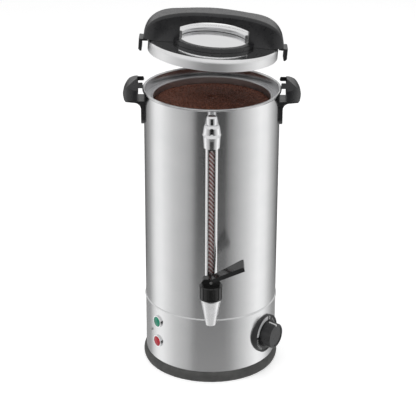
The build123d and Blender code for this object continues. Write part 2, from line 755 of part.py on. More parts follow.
def make_terminal_block():
    """The screw block on the bottom cover that joins the inlet to the heater circuit."""
    block = Pos(0, BLOCK_Y, COVER_SEAT_Z) * Box(BLOCK_L, BLOCK_W, BLOCK_H, align=FLOOR_CENTRED)
    for n in (-1, 0, 1):
        at = (n * BLOCK_L / 3.4, BLOCK_Y)
        block -= bar(2.4, COVER_SEAT_Z + BLOCK_H - 5, COVER_SEAT_Z + BLOCK_H, at)
        hole = Pos(at[0], at[1], COVER_SEAT_Z + 5) * Rot(90, 0, 0)
        block -= hole * Cylinder(1.8, BLOCK_W)
    return block


# ---- side handles ----
def make_right_handle():
    """A hollow grip on a broad stem; its upper lips hook over the lid handle's end lobes."""
    reach = SHELL_R + HANDLE_REACH
    back = SHELL_R - 10
    lip_r = SHELL_R + RIM_OVERHANG - SNUG
    under = GRIP_UNDER_Z
    high = HANDLE_TOP_Z
    tall = high - under
    over = high + 1.0
    outer = Spline(
        (lip_r, over),
        (lip_r + 0.55 * (reach - lip_r), high - 0.15 * tall),
        (reach - 5.2, high - 0.36 * tall),
        (reach, high - 0.68 * tall),
        (reach - 2.2, under + 4),
        tangents=((1, -0.12), (-0.3, -1)),
    )
    grip_outline = make_face(
        [
            outer,
            Line((reach - 2.2, under + 4), (reach - 5, under + 1.5)),
            Line((reach - 5, under + 1.5), (SHELL_R + 15, under)),
            ThreePointArc((SHELL_R + 15, under), (SHELL_R + 8, under - 3), (SHELL_R + STEM_T, under - NECK_H)),
            Line((SHELL_R + STEM_T, under - NECK_H), (back, under - NECK_H)),
            Line((back, under - NECK_H), (back, over)),
            Line((back, over), (lip_r, over)),
        ]
    )
    grip = extrude(Plane.XZ * grip_outline, HANDLE_HALF_W, both=True)
    plan = Pos(reach - 40, 0) * Rectangle(80, 2 * HANDLE_HALF_W)
    plan = fillet(plan.vertices().group_by(Axis.X)[-1], GRIP_CORNER)
    grip &= Pos(0, 0, under - 20) * extrude(plan, tall + 30)
    w = HANDLE_HALF_W + 1.0
    shoulders = make_face(
        [
            ThreePointArc((-w, high - GRIP_CROWN), (0, high), (w, high - GRIP_CROWN)),
            Line((w, high - GRIP_CROWN), (w, under + GRIP_HEEL)),
            ThreePointArc((w, under + GRIP_HEEL), (0, under + SLIP), (-w, under + GRIP_HEEL)),
            Line((-w, under + GRIP_HEEL), (-w, high - GRIP_CROWN)),
        ]
    )
    crowned = grip & extrude(Plane.YZ * shoulders, reach + 1)

    side = Pos(0, (STEM_BOTTOM_Z + under) / 2) * Rectangle(2 * STEM_HALF_W, under - STEM_BOTTOM_Z)
    side = fillet(side.vertices().group_by(Axis.Y)[0], 12)
    stem = Pos(back, 0, 0) * extrude(Plane.YZ * side, SHELL_R + STEM_T - back)
    neck = Pos(0, 0, under - NECK_H) * Box(2 * reach, 2 * STEM_HALF_W, NECK_H + GRIP_HEEL, align=FLOOR_CENTRED)
    handle = crowned + (grip & neck) + stem

    pocket_out = reach - GRIP_WALL
    slot_wall = LOBE_IN + LOBE_T + LOBE_PLAY
    pocket_in = slot_wall + 0.8 * GRIP_WALL
    pocket_outline = Polyline(
        (pocket_in, under - 5),
        (pocket_in, high - 0.36 * tall),
        (pocket_in + 5, high - 0.34 * tall),
        (pocket_out - 4, high - 0.5 * tall),
        (pocket_out - 0.5, high - 0.68 * tall),
        (pocket_out - 3, under - 5),
        close=True,
    )
    half = HANDLE_HALF_W - 3.5 * GRIP_WALL
    handle -= extrude(Plane.XZ * make_face(pocket_outline), half, both=True)

    handle -= inside_body(SHELL_R + SNUG)
    handle -= bar(SHELL_R + RIM_OVERHANG + SLIP, SHELL_TOP_Z - 2, RIM_Z + SLIP)
    handle -= bar(lip_r, RIM_Z, high + 5)
    slot_foot = LID_TOP_Z - LOBE_DROP - LOBE_FOOT_PLAY
    lobe_half_w = (LOBE_IN + LOBE_T) * math.sin(math.radians(LOBE_HALF_ANGLE))
    from_wall = (Align.MIN, Align.CENTER, Align.MIN)
    slot_w = slot_wall - back
    swing = Box(slot_w, 2 * HANDLE_HALF_W + 2, LID_TOP_Z - slot_foot, align=from_wall)
    entry = Box(slot_w, 2 * (lobe_half_w + LOBE_PLAY), over, align=from_wall)
    handle -= Pos(back, 0, slot_foot) * swing + Pos(back, 0, slot_foot) * entry
    for y in (-HANDLE_SCREW_Y, HANDLE_SCREW_Y):
        hole = Pos(SHELL_R + HANDLE_SCREW_DEPTH, y, HANDLE_SCREW_Z) * Rot(0, -90, 0)
        handle -= hole * Cylinder(LARGE_SCREW_R + SNUG, 3 * HANDLE_SCREW_DEPTH, align=FLOOR_CENTRED)
    return handle


def make_handle_screws():
    seat = math.sqrt(INNER_R**2 - (HANDLE_SCREW_Y + LARGE_SCREW_R * HEAD_RATIO) ** 2) - 0.1
    group = []
    for side in (-1, 1):
        for y in (-HANDLE_SCREW_Y, HANDLE_SCREW_Y):
            place = Pos(side * (seat - HEAD_H), y, HANDLE_SCREW_Z) * Rot(0, side * 90, 0)
            group.append(place * screw(LARGE_SCREW_R, SHELL_R + HANDLE_SCREW_DEPTH - seat - 0.5))
    return group


# ---- lid ----
def raised(shape):
    """Moves a piece of the closed, level lid to its raised and tipped rest pose."""
    a = math.radians(LIFT_LINE_BEARING)
    along = (math.cos(a), math.sin(a), 0.0)
    across = (math.sin(a), -math.cos(a))
    line = Axis((LIFT_ARM * across[0], LIFT_ARM * across[1], LIFT_ARM_Z), along)
    return shape.rotate(line, LID_RAISED)


def lid_screw_angles():
    return (45, 135, 225, 315)


def make_lid_shell():
    """A drawn steel pan with arc slots for the screws that let the handle turn."""
    outer = bar(LID_R, LID_FOOT_Z, LID_TOP_Z)
    outer = fillet(outer.edges().sort_by(Axis.Z)[-1], LID_EDGE_R)
    inner = bar(LID_R - LID_WALL, LID_FOOT_Z, LID_TOP_Z - LID_WALL)
    inner = fillet(inner.edges().sort_by(Axis.Z)[-1], LID_EDGE_R - LID_WALL)
    lid = outer - inner
    lid += ring(LID_R - LID_WALL - LID_HEM_W, LID_R - LID_WALL / 2, LID_FOOT_Z, LID_FOOT_Z + LID_WALL)
    half_w = LARGE_SCREW_R + SLIP
    for angle in lid_screw_angles():
        lid -= sector(LH_RING_R - half_w, LH_RING_R + half_w, LID_TOP_Z - 5, LID_TOP_Z + 5, LOCK_TURN, angle)
        for end in (-LOCK_TURN, LOCK_TURN):
            spot = Vector(LH_RING_R, 0).rotate(Axis.Z, angle + end)
            lid -= bar(half_w, LID_TOP_Z - 5, LID_TOP_Z + 5, (spot.X, spot.Y))
    return raised(lid)


def lid_screw_spots():
    return [Vector(LH_RING_R, 0).rotate(Axis.Z, angle) for angle in lid_screw_angles()]


def make_lid_screws():
    under = LID_TOP_Z - LID_WALL - SLIP - 1.0 - HEAD_H
    length = LID_WALL + SLIP + 1.0 + SLIP + LH_RING_T - 2.5
    return [raised(Pos(s.X, s.Y, under) * screw(LARGE_SCREW_R, length)) for s in lid_screw_spots()]


def make_lid_washers():
    top = LID_TOP_Z - LID_WALL - SLIP
    inner, outer = LARGE_SCREW_R + SNUG, LARGE_SCREW_R * HEAD_RATIO + 2.0
    return [raised(ring(inner, outer, top - 1.0, top, (s.X, s.Y))) for s in lid_screw_spots()]


def make_lid_handle():
    """An arched grip on a round flange; its end lobes drop outside the rim and turn under the lips."""
    foot = LID_TOP_Z + SLIP
    end_x = LH_END_X
    turn_x, turn_z = 0.58 * end_x, 0.9 * LH_TOP
    crest = ThreePointArc((-turn_x, turn_z), (0, LH_TOP), (turn_x, turn_z))
    shoulder = Bezier((turn_x, turn_z), (end_x, 0.84 * turn_z), (end_x, 0))
    outline = make_face(
        [crest, shoulder, mirror(shoulder, about=Plane.YZ), Line((-end_x, 0), (end_x, 0))]
    )
    hole = make_face(
        [
            Polyline(
                (-LH_HOLE_HALF, LH_HOLE_SHOULDER),
                (-LH_HOLE_HALF, -1),
                (LH_HOLE_HALF, -1),
                (LH_HOLE_HALF, LH_HOLE_SHOULDER),
            ),
            ThreePointArc(
                (LH_HOLE_HALF, LH_HOLE_SHOULDER), (0, LH_HOLE_TOP), (-LH_HOLE_HALF, LH_HOLE_SHOULDER)
            ),
        ]
    )
    block = extrude(Plane.XZ * outline, 2 * LH_HALF_DEPTH, both=True)
    edge = Spline(
        (-end_x - 1, -0.62 * LH_HALF_DEPTH),
        (-0.84 * end_x, -LH_LEG_HALF_DEPTH),
        (-0.45 * end_x, -0.92 * LH_HALF_DEPTH),
        (0, -LH_HALF_DEPTH),
        (0.45 * end_x, -0.92 * LH_HALF_DEPTH),
        (0.84 * end_x, -LH_LEG_HALF_DEPTH),
        (end_x + 1, -0.62 * LH_HALF_DEPTH),
    )
    back = mirror(edge, about=Plane.XZ)
    plan = make_face(
        [
            edge,
            Line(edge @ 1, back @ 1),
            back,
            Line(back @ 0, edge @ 0),
        ]
    )
    block &= Pos(0, 0, -1) * extrude(plan, LH_TOP + 5)
    upper_edges = block.edges().filter_by(GeomType.LINE, reverse=True)
    block = fillet(upper_edges.filter_by(lambda edge: edge.center().Z > 1), LH_EDGE_R)
    block -= extrude(Plane.XZ * hole, 2 * LH_HALF_DEPTH, both=True)
    flange = ring(LH_RING_R - LH_RING_W / 2, LH_RING_R + LH_RING_W / 2, 0, LH_RING_T)
    flange = fillet(flange.edges().group_by(Axis.Z)[-1], 2.0)
    handle = Pos(0, 0, foot) * (block + flange)

    for side in (0, 180):
        half = LOBE_HALF_ANGLE
        tongue_top = LID_TOP_Z - 0.5
        lobe_out = LOBE_IN + LOBE_T
        lobe_foot = LID_TOP_Z - LOBE_DROP
        lobe_profile = Polyline(
            (LOBE_IN, lobe_foot),
            (lobe_out - LOBE_LEAD, lobe_foot),
            (lobe_out, lobe_foot + LOBE_LEAD),
            (lobe_out, tongue_top),
            (LOBE_IN, tongue_top),
            close=True,
        )
        lobe_half_w = lobe_out * math.sin(math.radians(half))
        lobe = extrude(Plane.XZ * make_face(lobe_profile), lobe_half_w, both=True)
        lobe = Rot(0, 0, side) * fillet(lobe.edges().filter_by(Axis.Z), 2.0)
        tongue = sector(LID_R + 1, lobe_out, tongue_top - TONGUE_T, tongue_top, half, side)
        root = sector(LID_R + 1, end_x, tongue_top - 1, foot + 2, half, side)
        handle += lobe + tongue + root
    for spot in lid_screw_spots():
        handle -= bar(LARGE_SCREW_R + SNUG, foot - 1, foot + LH_RING_T - 2, (spot.X, spot.Y))
    return raised(handle)


# ---- basket, pump and charge ----
def make_coffee_basket():
    wall_top = BASKET_RIM_Z - BASKET_BEAD
    basket = bar(BASKET_R, BASKET_FLOOR_Z, wall_top)
    basket = fillet(basket.edges().sort_by(Axis.Z)[0], 5.0)
    inner = bar(BASKET_R - BASKET_WALL, BASKET_FLOOR_Z + BASKET_WALL, wall_top)
    inner = fillet(inner.edges().sort_by(Axis.Z)[0], 5.0 - BASKET_WALL)
    basket -= inner
    basket += torus_ring(BASKET_R + 0.2 + BASKET_BEAD - BASKET_WALL / 2, BASKET_BEAD, wall_top)
    basket += bar(HUB_R, BASKET_FLOOR_Z, BASKET_FLOOR_Z + HUB_H)
    basket -= bar(TUBE_R + SNUG, BASKET_FLOOR_Z - 1, BASKET_FLOOR_Z + HUB_H)
    for radius in BASKET_HOLE_RINGS:
        for n in range(BASKET_HOLES):
            spot = Vector(radius, 0).rotate(Axis.Z, n * 360 / BASKET_HOLES)
            at = (spot.X, spot.Y)
            basket -= bar(BASKET_HOLE_R, BASKET_FLOOR_Z - 1, BASKET_FLOOR_Z + 2, at)
    return basket


def make_pump_tube():
    foot = WELL_FLOOR_Z + BELL_H + 1.0
    hub_top = BASKET_FLOOR_Z + HUB_H
    tube = bar(TUBE_R, foot, TUBE_TOP_Z)
    tube += bar(TUBE_COLLAR_R, hub_top, hub_top + TUBE_COLLAR_H)
    return tube - bar(TUBE_R - TUBE_WALL, foot - 1, TUBE_TOP_Z + 1)


def make_pump_bell():
    """The domed foot that stands in the pot's well; water enters through the hole in its floor."""
    foot = WELL_FLOOR_Z + SLIP
    floor = foot + BELL_FOOT_H
    top = WELL_FLOOR_Z + BELL_H + 1.0
    wall = BELL_WALL
    bell = turned(
        (BELL_INLET_R, floor),
        (BELL_R - wall, floor),
        (BELL_R - wall, foot),
        (BELL_R, foot),
        (BELL_R, floor + 5),
        (TUBE_R + wall, top),
        (TUBE_R + wall, top + 6),
        (TUBE_R + SNUG, top + 6),
        (TUBE_R + SNUG, top),
        (TUBE_R - TUBE_WALL, top - wall),
        (BELL_R - wall, floor + 4),
        (BELL_R - wall, floor + wall),
        (BELL_INLET_R, floor + wall),
    )
    notch = Pos(BELL_R, 0, foot) * Box(8, 6, BELL_FOOT_H, align=FLOOR_CENTRED)
    for n in range(BELL_NOTCHES):
        bell -= Rot(0, 0, n * 360 / BELL_NOTCHES) * notch
    return bell


def make_valve_disc():
    """The loose disc on the bell's floor that lets water in and stops it from going back."""
    z = WELL_FLOOR_Z + SLIP + BELL_FOOT_H + BELL_WALL + SNUG
    return bar(VALVE_R, z, z + VALVE_T)


def make_coffee_grounds():
    """The charge of ground coffee, heaped a little towards the middle and pierced by the pump."""
    radius = BASKET_R - BASKET_WALL - GROUNDS_GAP
    floor = BASKET_FLOOR_Z + BASKET_WALL + GROUNDS_GAP
    rise = GROUNDS_TOP_Z - GROUNDS_EDGE_Z
    outline = make_face(
        [
            Polyline(
                (0, GROUNDS_TOP_Z), (0, floor), (radius - 5, floor), (radius, floor + 5), (radius, GROUNDS_EDGE_Z)
            ),
            Spline(
                (radius, GROUNDS_EDGE_Z),
                (0.8 * radius, GROUNDS_EDGE_Z + 0.5 * rise),
                (0.45 * radius, GROUNDS_EDGE_Z + 0.88 * rise),
                (0, GROUNDS_TOP_Z),
            ),
        ]
    )
    charge = revolve(Plane.XZ * outline, Axis.Z)
    hub_top = BASKET_FLOOR_Z + HUB_H
    charge -= bar(HUB_R + GROUNDS_GAP, floor - 1, hub_top)
    charge -= bar(TUBE_COLLAR_R + GROUNDS_GAP, hub_top - 1, hub_top + TUBE_COLLAR_H + GROUNDS_GAP)
    return charge - bar(TUBE_R + GROUNDS_GAP, floor, TUBE_TOP_Z + GROUNDS_GAP)


# ---- sight gauge ----
def make_gauge_shield():
    """A bent channel round the glass, with a round-ended window down its front."""
    tall = SHIELD_TOP_Z - GAUGE_FOOT_Z
    front = GAUGE_Y - SHIELD_FRONT
    middle = front + SHIELD_DEPTH / 2
    block = Pos(0, middle, GAUGE_FOOT_Z) * Box(SHIELD_W, SHIELD_DEPTH, tall, align=FLOOR_CENTRED)
    block = fillet(block.edges().filter_by(Axis.Z).group_by(Axis.Y)[0], SHIELD_EDGE_R)
    hollow_w = SHIELD_W - 2 * SHIELD_WALL
    hollow = Pos(0, middle + SHIELD_WALL, GAUGE_FOOT_Z) * Box(hollow_w, SHIELD_DEPTH, tall, align=FLOOR_CENTRED)
    hollow = fillet(hollow.edges().filter_by(Axis.Z).group_by(Axis.Y)[0], SHIELD_EDGE_R - SHIELD_WALL)
    window_top = SHIELD_TOP_Z - WINDOW_TOP_MARGIN
    window_l = window_top - WINDOW_FOOT_Z
    window = Plane.XZ * Pos(0, WINDOW_FOOT_Z + window_l / 2) * Rot(0, 0, 90) * SlotOverall(window_l, WINDOW_W)
    window = Pos(0, front + 3, 0) * extrude(window, 6)
    return block - hollow - window


def make_gauge_tube():
    foot = GAUGE_FOOT_Z - GLASS_SOCKET + SEAL_T
    top = HEAD_Z + GLASS_SOCKET - SEAL_T
    return ring(GLASS_R - GLASS_WALL, GLASS_R, foot, top, GAUGE)


def make_gauge_stripe():
    """The coloured backing strip that clips round the rear half of the glass."""
    foot, top = GAUGE_FOOT_Z + 0.5, SHIELD_TOP_Z - 0.5
    sleeve = ring(GLASS_R + SNUG, GLASS_R + SNUG + STRIPE_T, foot, top, GAUGE)
    rear = Pos(0, GAUGE_Y - 1.0, foot) * Box(40, 40, top - foot, align=(Align.CENTER, Align.MIN, Align.MIN))
    return sleeve & rear


def make_gauge_seals():
    low = GAUGE_FOOT_Z - GLASS_SOCKET
    high = HEAD_Z + GLASS_SOCKET - SEAL_T
    inner = GLASS_R - GLASS_WALL
    return [ring(inner, GLASS_R, z, z + SEAL_T, GAUGE) for z in (low, high)]


def make_gauge_head():
    """The cast fitting that caps the glass, with an arm and a stud through the body."""
    z = HEAD_Z
    flare_z = z + HEAD_COLLAR_H + 8
    head = turned(
        (0, z),
        (HEAD_COLLAR_R - 0.8, z),
        (HEAD_COLLAR_R, z + HEAD_COLLAR_H),
        (HEAD_FLARE_R - 1.2, flare_z - 3),
        (HEAD_FLARE_R, flare_z),
        (HEAD_FLARE_R - 1.0, flare_z + 2.5),
        (HEAD_TOP_R + 1.2, z + HEAD_H_ALL - 4),
        (HEAD_TOP_R, z + HEAD_H_ALL - 1),
        (HEAD_TOP_R - 1.0, z + HEAD_H_ALL),
        (0, z + HEAD_H_ALL),
        at=GAUGE,
    )
    reach = -GAUGE_Y
    head += radial_bar(0, ARM_Z, ARM_R, SHELL_R + 1, reach)
    flange = radial_bar(0, ARM_Z, ARM_FLANGE_R, SHELL_R - 3, SHELL_R + ARM_FLANGE_T)
    head += flange - inside_body(SHELL_R + SNUG)
    head += radial_bar(0, ARM_Z, STUD_R, INNER_R - STUD_NUT_T - 2, reach - HEAD_TOP_R)
    head -= bar(GLASS_R + SNUG, z - 1, z + GLASS_SOCKET, GAUGE)
    slot = Pos(0, GAUGE_Y - HEAD_FLARE_R, flare_z + 2) * Box(HEAD_SLOT_W, 9, HEAD_SLOT_H, align=FLOOR_CENTRED)
    return head - slot


def make_gauge_plug():
    """The cleaning plug screwed into the top of the gauge head."""
    z = HEAD_Z + HEAD_H_ALL
    plug = bar(PLUG_R, z, z + PLUG_H, GAUGE)
    plug = fillet(plug.edges().sort_by(Axis.Z)[-1], 4.0)
    return plug - ring(PLUG_R - 0.7, PLUG_R + 1, z, z + 1.2, GAUGE)


def make_gauge_nut():
    face = INNER_R - 0.4
    nut = hexagon_nut(2 * STUD_NUT_R, STUD_NUT_T, STUD_R + SNUG)
    return wall_plane(0, ARM_Z, face - STUD_NUT_T) * nut


# ---- tap ----
def make_tap_body():
    """Tapered spout, shank through both walls, and the tee that feeds the sight gauge."""
    spout = turned(
        (SPOUT_BORE_R, SPOUT_Z),
        (SPOUT_TIP_R, SPOUT_Z),
        (SPOUT_TOP_R - 0.8, SPOUT_TOP_Z - 4),
        (SPOUT_TOP_R, SPOUT_TOP_Z - 3),
        (SPOUT_TOP_R, SPOUT_TOP_Z),
        (0, SPOUT_TOP_Z),
        (0, SPOUT_Z),
        at=TAP,
    )
    reach = -TAP_Y
    end = POT_R - SHANK_END - WASHER_T - NUT_T
    body = spout + radial_bar(0, SHANK_Z, SHANK_R, end, reach)
    body += radial_bar(0, SHANK_Z, SHANK_FLANGE_R, SHELL_R + WASHER_T, SHELL_R + WASHER_T + SHANK_FLANGE_T)
    body += bar(TEE_R - 2.5, SHANK_Z, GAUGE_FOOT_Z - GLASS_SOCKET, GAUGE)
    body += bar(TEE_R, GAUGE_FOOT_Z - GLASS_SOCKET - 2.5, GAUGE_FOOT_Z, GAUGE)
    body -= bar(GLASS_R + SNUG, GAUGE_FOOT_Z - GLASS_SOCKET, GAUGE_FOOT_Z + 1, GAUGE)
    body -= bar(GLASS_R - GLASS_WALL, SHANK_Z, GAUGE_FOOT_Z, GAUGE)
    body -= radial_bar(0, SHANK_Z, SHANK_BORE_R, end - 1, reach)
    body -= bar(SPOUT_BORE_R, SPOUT_Z - 1, SEAT_Z + 1, TAP)
    body -= Pos(*TAP, SEAT_Z - 1) * Cone(SPOUT_BORE_R, CHAMBER_R * 0.8, 3, align=FLOOR_CENTRED)
    return body - bar(CHAMBER_R, SEAT_Z + 2, SPOUT_TOP_Z + 1, TAP)


def make_tap_bonnet():
    """The grip cap of the tap, fluted round its side, that holds the spring down."""
    bonnet = bar(BONNET_R, SPOUT_TOP_Z, BONNET_TOP_Z, TAP)
    bonnet = chamfer(bonnet.edges().sort_by(Axis.Z)[-1], 1.6)
    flute = bar(BONNET_FLUTE_R, SPOUT_TOP_Z + 3, BONNET_TOP_Z + 1, (BONNET_R + 0.4 * BONNET_FLUTE_R, 0))
    for n in range(BONNET_RIBS):
        bonnet -= Pos(*TAP, 0) * Rot(0, 0, n * 360 / BONNET_RIBS) * flute
    bonnet -= bar(CHAMBER_R, SPOUT_TOP_Z - 1, BONNET_TOP_Z - BONNET_ROOF, TAP)
    return bonnet - bar(STEM_R + RUNNING, SPOUT_TOP_Z, BONNET_TOP_Z + 1, TAP)


def make_tap_washers():
    """Two silicone washers, one outside the body and one inside the pot."""
    inner = SHANK_R + SNUG
    outside = radial_bar(0, SHANK_Z, SHANK_FLANGE_R, SHELL_R - 3, SHELL_R + WASHER_T)
    outside -= inside_body(SHELL_R + SNUG)
    outside -= radial_bar(0, SHANK_Z, inner, SHELL_R - 5, SHELL_R + 5)
    face = math.sqrt(POT_R**2 - SHANK_FLANGE_R**2) - WASHER_T
    inside = radial_bar(0, SHANK_Z, SHANK_FLANGE_R, face, POT_R + 2)
    inside &= inside_body(POT_R - SNUG)
    inside -= radial_bar(0, SHANK_Z, inner, face - 1, POT_R + 5)
    return [outside, inside]


def make_tap_nut():
    face = math.sqrt(POT_R**2 - SHANK_FLANGE_R**2) - WASHER_T
    nut = hexagon_nut(NUT_ACROSS, NUT_T, SHANK_R + SNUG)
    return wall_plane(0, SHANK_Z, face - NUT_T) * nut


def make_tap_stem():
    """The rod that lifts the seat cup, flattened to an eye for the lever's pin."""
    stem = bar(STEM_R, SEAT_Z + 4, BONNET_TOP_Z + 1, TAP)
    eye = Pos(*TAP, BONNET_TOP_Z + 0.5) * Box(EYE_W, EYE_T, PIVOT_Z - BONNET_TOP_Z, align=FLOOR_CENTRED)
    crown = Pos(*TAP, PIVOT_Z) * Rot(90, 0, 0) * Cylinder(EYE_W / 2, EYE_T)
    hole = Pos(*TAP, PIVOT_Z) * Rot(90, 0, 0) * Cylinder(PIN_R + RUNNING, 3 * EYE_T)
    return stem + eye + crown - hole


def make_tap_seat_cup():
    z = SEAT_Z + 2 + SNUG
    cup = turned(
        (0, z - 1.0),
        (SPOUT_BORE_R - 1.0, z - 1.0),
        (SPOUT_BORE_R + 1.0, z),
        (CUP_R, z),
        (CUP_R, z + 2.5),
        (SPRING_R + 2 * SPRING_WIRE_R, z + CUP_H),
        (0, z + CUP_H),
        at=TAP,
    )
    return cup - bar(STEM_R + SNUG, SEAT_Z + 4 - SNUG, z + CUP_H + 1, TAP)


def make_tap_spring():
    """The closing spring between the seat cup and the roof of the bonnet."""
    foot = SEAT_Z + 2 + SNUG + CUP_H + SNUG + SPRING_WIRE_R
    top = BONNET_TOP_Z - BONNET_ROOF - SPRING_WIRE_R - SNUG
    tall = top - foot
    coil = Helix(pitch=tall / SPRING_TURNS, height=tall, radius=SPRING_R)
    wire = Plane(origin=coil @ 0, z_dir=coil % 0) * Circle(SPRING_WIRE_R)
    return Pos(*TAP, foot) * sweep(wire, path=coil)


def make_tap_lever():
    """A fan-shaped paddle on a forked cam that rides on the bonnet."""
    cam = extrude(Plane.XZ * SlotCenterToCenter(2 * CAM_OFFSET, 2 * CAM_R), LEVER_ROOT_HALF, both=True)
    side = make_face(
        Polyline(
            (-CAM_OFFSET, -0.2 * LEVER_ROOT_T),
            (LEVER_L, -LEVER_TIP_T / 2),
            (LEVER_L + 1.5, LEVER_TIP_T / 2 - 1.5),
            (LEVER_L - 1.0, LEVER_TIP_T / 2),
            (CAM_OFFSET, LEVER_ROOT_T / 2),
            (-CAM_OFFSET - 2, LEVER_ROOT_T / 2),
            close=True,
        )
    )
    plan = make_face(
        Polyline(
            (-CAM_OFFSET - CAM_R, -LEVER_ROOT_HALF),
            (0, -LEVER_ROOT_HALF),
            (LEVER_L + 2, -LEVER_TIP_HALF),
            (LEVER_L + 2, LEVER_TIP_HALF),
            (0, LEVER_ROOT_HALF),
            (-CAM_OFFSET - CAM_R, LEVER_ROOT_HALF),
            close=True,
        )
    )
    paddle = extrude(Plane.XZ * side, LEVER_TIP_HALF, both=True)
    paddle &= Pos(0, 0, -20) * extrude(plan, 40)
    lever = cam + Rot(0, -LEVER_RISE, 0) * paddle
    slot_w = EYE_W + 2 * CAM_R * 0.7
    lever -= Pos(0, 0, -CAM_R - 1) * Box(slot_w, EYE_T + 2 * SLIP, CAM_R + EYE_W / 2 + 2.5, align=FLOOR_CENTRED)
    lever -= Rot(90, 0, 0) * Cylinder(PIN_R + PRESS, 4 * LEVER_ROOT_HALF)
    return Pos(*TAP, PIVOT_Z) * lever


def make_tap_pin():
    head_t = 1.6
    head_at = LEVER_ROOT_HALF + 0.6 + head_t / 2
    pin = Cylinder(PIN_R, 2 * head_at)
    for end in (-1, 1):
        pin += Pos(0, 0, end * head_at) * Cylinder(PIN_R + 1.1, head_t)
    return Pos(*TAP, PIVOT_Z) * Rot(90, 0, 0) * pin


# ---- the assembly ----
right_handle = make_right_handle()

parts = {
    "outer_shell": make_outer_shell(),
    "rim_ring": make_rim_ring(),
    "base_skirt": make_base_skirt(),
    "skirt_screws": make_skirt_screws(),
    "base_ring": make_base_ring(),
    "rubber_pads": make_rubber_pads(),
    "bottom_cover": make_bottom_cover(),
    "bottom_screws": make_bottom_screws(),
    "inner_pot": make_inner_pot(),
    "heat_spreader": make_heat_spreader(),
    "heating_element": make_heating_element(),
    "thermal_cutout": make_thermal_cutout(),
    "thermostat_body": make_thermostat_body(),
    "thermostat_screws": make_thermostat_screws(),
    "thermostat_sensor": make_thermostat_sensor(),
    "dial_bezel": make_dial_bezel(),
    "thermostat_spindle": make_thermostat_spindle(),
    "thermostat_knob": make_thermostat_knob(),
    "knob_pointer": make_knob_pointer(),
    "green_lens": make_lens(GREEN_Z),
    "red_lens": make_lens(RED_Z),
    "lamp_bezels": make_lamp_bezels(),
    "lamp_sockets": make_lamp_sockets(),
    "power_inlet": make_power_inlet(),
    "inlet_pins": make_inlet_pins(),
    "inlet_screws": make_inlet_screws(),
    "terminal_block": make_terminal_block(),
    "right_handle": right_handle,
    "left_handle": mirror(right_handle, about=Plane.YZ),
    "handle_screws": make_handle_screws(),
    "lid_shell": make_lid_shell(),
    "lid_handle": make_lid_handle(),
    "lid_screws": make_lid_screws(),
    "lid_washers": make_lid_washers(),
    "coffee_basket": make_coffee_basket(),
    "pump_tube": make_pump_tube(),
    "pump_bell": make_pump_bell(),
    "valve_disc": make_valve_disc(),
    "coffee_grounds": make_coffee_grounds(),
    "gauge_shield": make_gauge_shield(),
    "gauge_tube": make_gauge_tube(),
    "gauge_stripe": make_gauge_stripe(),
    "gauge_seals": make_gauge_seals(),
    "gauge_head": make_gauge_head(),
    "gauge_plug": make_gauge_plug(),
    "gauge_nut": make_gauge_nut(),
    "tap_body": make_tap_body(),
    "tap_bonnet": make_tap_bonnet(),
    "tap_washers": make_tap_washers(),
    "tap_nut": make_tap_nut(),
    "tap_stem": make_tap_stem(),
    "tap_seat_cup": make_tap_seat_cup(),
    "tap_spring": make_tap_spring(),
    "tap_lever": make_tap_lever(),
    "tap_pin": make_tap_pin(),
}

os.makedirs("parts", exist_ok=True)
for name, shape in parts.items():
    if isinstance(shape, list):
        shape = Compound(children=shape)
    export_step(shape, f"parts/{name}.step")
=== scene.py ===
import math
import random

import bpy
from mathutils import Matrix, Vector, noise


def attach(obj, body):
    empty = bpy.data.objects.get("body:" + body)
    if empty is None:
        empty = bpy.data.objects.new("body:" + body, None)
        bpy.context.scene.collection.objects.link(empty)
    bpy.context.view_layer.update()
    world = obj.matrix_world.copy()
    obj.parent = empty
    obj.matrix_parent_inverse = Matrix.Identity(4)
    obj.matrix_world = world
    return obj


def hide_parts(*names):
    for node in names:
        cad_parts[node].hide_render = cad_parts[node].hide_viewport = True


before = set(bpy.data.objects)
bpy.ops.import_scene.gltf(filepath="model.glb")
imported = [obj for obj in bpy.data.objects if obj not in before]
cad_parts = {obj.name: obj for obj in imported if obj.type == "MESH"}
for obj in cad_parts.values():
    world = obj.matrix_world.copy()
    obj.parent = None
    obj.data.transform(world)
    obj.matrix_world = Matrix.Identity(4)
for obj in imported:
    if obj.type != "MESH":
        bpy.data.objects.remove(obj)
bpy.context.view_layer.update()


# ---- camera ----
# A long lens looks down on the urn from in front of the tap, a little left of its middle line.
# It takes in the whole urn with the lid raised over it.

CAMERA_LENS = 133.3
CAMERA_SPOT = (-0.0056, -2.47, 1.3285)
CAMERA_TILT = 67.0
CAMERA_ROLL = 0.3

camera_data = bpy.data.cameras.new("camera")
camera_data.lens = CAMERA_LENS
camera = bpy.data.objects.new("camera", camera_data)
tilt = Matrix.Rotation(math.radians(CAMERA_TILT), 4, "X")
roll = Matrix.Rotation(math.radians(CAMERA_ROLL), 4, "Z")
camera.matrix_world = Matrix.Translation(CAMERA_SPOT) @ (tilt @ roll)
bpy.context.scene.collection.objects.link(camera)
bpy.context.scene.camera = camera
bpy.context.scene.view_settings.view_transform = "Standard"


# ---- studio ----
# A plain pale floor, three soft lamps, and a round cloth tent without a roof for the metal to mirror.
# The tent is dark where the camera stands and behind the urn, and has a pale hem.

def new_mesh(name, points, faces, smooth=True):
    """A mesh object in the scene, from its points in metres and its faces."""
    mesh = bpy.data.meshes.new(name)
    mesh.from_pydata([tuple(p) for p in points], [], faces)
    mesh.update()
    for polygon in mesh.polygons:
        polygon.use_smooth = smooth
    thing = bpy.data.objects.new(name, mesh)
    bpy.context.scene.collection.objects.link(thing)
    return thing


def on_circle(radius, angle, height):
    """A point of a level circle, at an angle in radians."""
    return radius * math.cos(angle), radius * math.sin(angle), height


